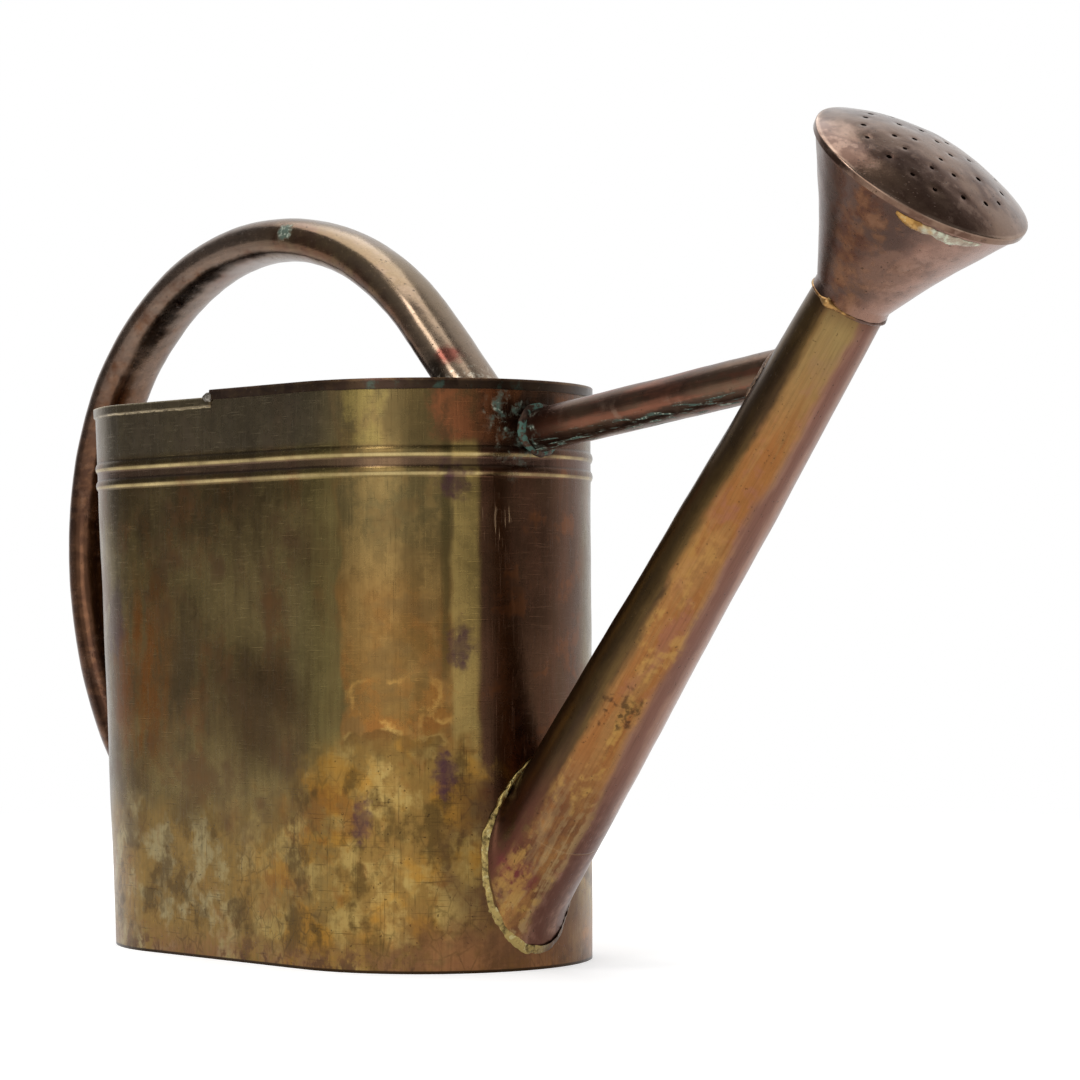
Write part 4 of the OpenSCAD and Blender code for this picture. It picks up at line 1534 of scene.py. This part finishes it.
def solder_finish(name, metal, dirt, salt, salt_share, shine, seed, part=None):
    """Solder of one metal tone, with dirt in the low places and salts over this share."""
    m = Finish(name)
    mid, fine = m.cloud(8, seed, 4.0), m.cloud(2.4, seed + 1, 4.0)
    grain = m.cloud(0.8, seed + 2, 3.0)
    m.colour = m.mix((mid * 0.8 + fine * 0.5).between(0.5, 0.72), dirt, metal)
    salty = (m.cloud(3, seed + 3, 5.0) + mid * 0.5).between(0.9 - salt_share, 1.0 - salt_share)
    m.coat(salty, salt)
    if part:
        part(m)
    roughness = shine + (fine - 0.5) * 0.3 + salty * 0.2
    return m.metal(roughness, 0.8 - salty * 0.5, fine * 0.7 + grain * 0.3, depth=0.3)


def golden_then_pale(m):
    """Along the rim's run the solder goes from golden to pale green towards the spout's line."""
    pale = m.mix(m.cloud(3, 97, 4.0).between(0.45, 0.6), "9a8b79", "b4b59f")
    m.coat((m.y + (m.cloud(3, 96, 3.0) - 0.5) * 16).between(-33, -24), pale)


def fades_to_mauve(m):
    """The neck's bead is golden on the near side only."""
    m.coat((m.y + (m.cloud(5, 97, 3.0) - 0.5) * 8).between(-13, -7), MAUVE)


def brassy_near_side(m):
    """The root's run is brassy on the near side and brown on the other."""
    m.coat((m.y + (m.cloud(6, 98, 3.0) - 0.5) * 10).between(-6, 6), "665243")


# %% The seven kinds of solder
root_solder_metal = solder_finish("solder_root_brassy", "a08a52", "4a3b20", "c4b57c", 0.06, 0.3, 110,
                                  brassy_near_side)
verdigris_solder = solder_finish("solder_brace_green", "4b372b", "2f231c", VERDIGRIS, 0.16, 0.5, 111)
brace_solder = solder_finish("solder_brace_brown", "8d7460", "5a4234", "b09a88", 0.1, 0.42, 112)
handle_solder = solder_finish("solder_handle_grey", "b3a48e", "4d3d31", "d6cfbf", 0.2, 0.3, 113)
golden_solder = solder_finish("solder_rose_golden", "a87f4a", "6b4a2c", "b79a66", 0.06, 0.36, 114,
                              fades_to_mauve)
rim_solder_metal = solder_finish("solder_rim_golden", "b58b4e", "85602f", "c8aa70", 0.08, 0.38, 115,
                                 golden_then_pale)
grey_solder = solder_finish("solder_cover_grey", "6e675e", "3b332c", "a39c90", 0.1, 0.5, 116)
print("solder finishes made")

# %% [markdown]
# ## Hang every piece on the frame
# The can has no moving joints, so all pieces ride on one body. Each piece stands for the
# construction node of the same part, and takes its material slot.

# %% Ride, replace and slot
pieces = [
    (wall, "body_wall", "body_brass", body_brass),
    (base, "base_plate", "base_brass", base_brass),
    (cover, "front_cover", "cover_copper", cover_copper),
    (handle, "handle_tube", "handle_copper", handle_copper),
    (spout, "spout_tube", "spout_brass", spout_brass),
    (brace, "brace_tube", "brace_copper", brace_copper),
    (cone, "rose_cone", "rose_copper", rose_copper),
    (face, "rose_face", "rose_face_copper", rose_face_copper),
    (root_solder, "spout_root_solder", "root_solder", root_solder_metal),
    (brace_body_solder, "brace_body_solder", "verdigris_solder", verdigris_solder),
    (brace_spout_solder, "brace_spout_solder", "brace_solder", brace_solder),
    (handle_front_solder, "handle_front_solder", "handle_solder", handle_solder),
    (handle_back_solder, "handle_back_solder", "handle_solder", handle_solder),
    (neck_solder, "rose_neck_solder", "golden_solder", golden_solder),
    (rim_solder, "rose_rim_solder", "golden_solder", rim_solder_metal),
    (cover_solder, "cover_solder", "grey_solder", grey_solder),
]
for piece, node, slot, material in pieces:
    piece.data.materials.clear()
    piece.data.materials.append(material)
    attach(piece, "root")
    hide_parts(node)
total = sum(len(p.data.loops) - 2 * len(p.data.polygons) for p, _, _, _ in pieces)
print(len(pieces), "pieces with about", total, "triangles")

# %% [markdown]
# ## Studio
# The can stands on a pale floor in a white sweep. The room is white behind the can and darker on the
# camera's side, apart from a tall light screen, and that is what gives the metal its long bright and
# dark bands. A soft lamp overhead, a little to the left, gives the small bright edges and the faint
# shadow on the floor.

# %% Floor
FLOOR_RADIUS = 9.0
WHITE = (1, 1, 1, 1)


def floor_finish():
    """Near the can the floor is painted and takes the shadow, and further out it glows evenly."""
    m = Finish("studio_floor")
    seen = m.node("LightPath", out="Is Camera Ray").highest(
        m.node("LightPath", out="Is Glossy Ray"), m.node("LightPath", out="Is Transmission Ray"))
    far = m.length(m.place).between(0.6, 1.3)
    paint = m.node("BsdfDiffuse", {}, {"Color": (0.82, 0.82, 0.82, 1)})
    glow = m.node("Emission", {}, {"Color": WHITE, "Strength": seen * 0.44})
    near_shader = m.node("AddShader", {}, {0: paint, 1: glow})
    sweep = m.node("Emission", {}, {"Color": WHITE, "Strength": seen * 0.5 + 0.5})
    return m.surface(m.node("MixShader", {}, {0: far, 1: near_shader, 2: sweep}))


def disc(name, radius, count=96):
    angles = [2 * math.pi * i / count for i in range(count)]
    mesh = bpy.data.meshes.new(name)
    rim = [(radius * math.cos(a), radius * math.sin(a), 0) for a in angles]
    mesh.from_pydata(rim, [], [tuple(range(count))])
    made = bpy.data.objects.new(name, mesh)
    bpy.context.scene.collection.objects.link(made)
    return made


floor = disc("floor", FLOOR_RADIUS)
floor.data.materials.append(floor_finish())

# %% World


def polar(azimuth, distance=1, height=0):
    """A place at this azimuth in degrees from +X, this far out and this high."""
    a = math.radians(azimuth)
    return (distance * math.cos(a), distance * math.sin(a), height)


def white_room():
    """White behind the can, a light screen beside the camera, and a dim room between them."""
    world = bpy.data.worlds.new("studio")
    bpy.context.scene.world = world
    world.use_nodes = True
    tree = world.node_tree
    tree.nodes.clear()
    helper = Finish.__new__(Finish)
    helper.tree = tree
    way = helper.node("TexCoord", out="Generated")
    height = helper.node("SeparateXYZ", {}, {0: way}, out="Z")

    def towards(azimuth):
        return helper.dot(way, polar(azimuth))

    backdrop = towards(122).between(0.3, 0.55) * height.between(0.97, 0.7)
    screen = towards(-68).between(0.55, 0.8) * height.between(0.85, 0.5)
    room = backdrop * 0.8 + screen * 0.46 + 0.2
    is_camera = helper.node("LightPath", out="Is Camera Ray")
    seen = helper.node("LightPath", out="Is Glossy Ray").highest(
        helper.node("LightPath", out="Is Transmission Ray"))
    level = is_camera.highest(seen * room).highest((1 - seen) * 0.55)
    shade = helper.node("Background", {}, {"Color": WHITE, "Strength": level})
    output = tree.nodes.new("ShaderNodeOutputWorld")
    tree.links.new(shade.socket, output.inputs["Surface"])


white_room()

# %% Lamps


def soft_lamp(name, place, width, height, power):
    """A rectangle of light that faces the can and isn't seen itself."""
    light = bpy.data.lights.new(name, "AREA")
    light.shape = "RECTANGLE"
    light.size, light.size_y, light.energy = width, height, power
    lamp = bpy.data.objects.new(name, light)
    lamp.location = place
    lamp.rotation_mode = "QUATERNION"
    lamp.rotation_quaternion = (Vector(MIDDLE) - Vector(place)).to_track_quat("-Z", "Y")
    lamp.visible_camera = False
    bpy.context.scene.collection.objects.link(lamp)


MIDDLE = (0.06, 0, 0.2)
soft_lamp("screen_softbox", polar(-72, 2.8, 1.0), 1.5, 1.8, 12)
soft_lamp("top_softbox", (-0.5, 0.2, 2.2), 1.7, 2.0, 26)
soft_lamp("high_strip", polar(-84, 1.5, 2.1), 0.5, 1.0, 10)
print("floor, room and three lamps")

# %% [markdown]
# ## Camera
# The camera stands low, in front of the near corner on the spout's side, with a long lens, and looks
# very slightly upwards.

# %% Camera
CAMERA_PLACE = (1.2785, -1.0636, 0.1591)
CAMERA_TURN = math.radians(50.24 - 3.494)
CAMERA_PITCH, CAMERA_ROLL = math.radians(1.475), math.radians(-0.186)
LENS, SENSOR = 111.27, 36.0
NEAREST, FURTHEST = 0.05, 50


def place_camera():
    """Turned from +Y about the vertical, then pitched up, then rolled."""
    flat = math.cos(CAMERA_PITCH)
    ahead = Vector((-math.sin(CAMERA_TURN) * flat, math.cos(CAMERA_TURN) * flat, math.sin(CAMERA_PITCH)))
    level = Vector((math.cos(CAMERA_TURN), math.sin(CAMERA_TURN), 0))
    above = level.cross(ahead)
    right = level * math.cos(CAMERA_ROLL) + above * math.sin(CAMERA_ROLL)
    up = above * math.cos(CAMERA_ROLL) - level * math.sin(CAMERA_ROLL)
    data = bpy.data.cameras.new("camera")
    data.lens, data.sensor_width = LENS, SENSOR
    data.clip_start, data.clip_end = NEAREST, FURTHEST
    camera = bpy.data.objects.new("camera", data)
    camera.matrix_world = Matrix((right, up, -ahead)).transposed().to_4x4()
    camera.location = CAMERA_PLACE
    bpy.context.scene.collection.objects.link(camera)
    bpy.context.scene.camera = camera


place_camera()
bpy.context.scene.view_settings.view_transform = "Standard"
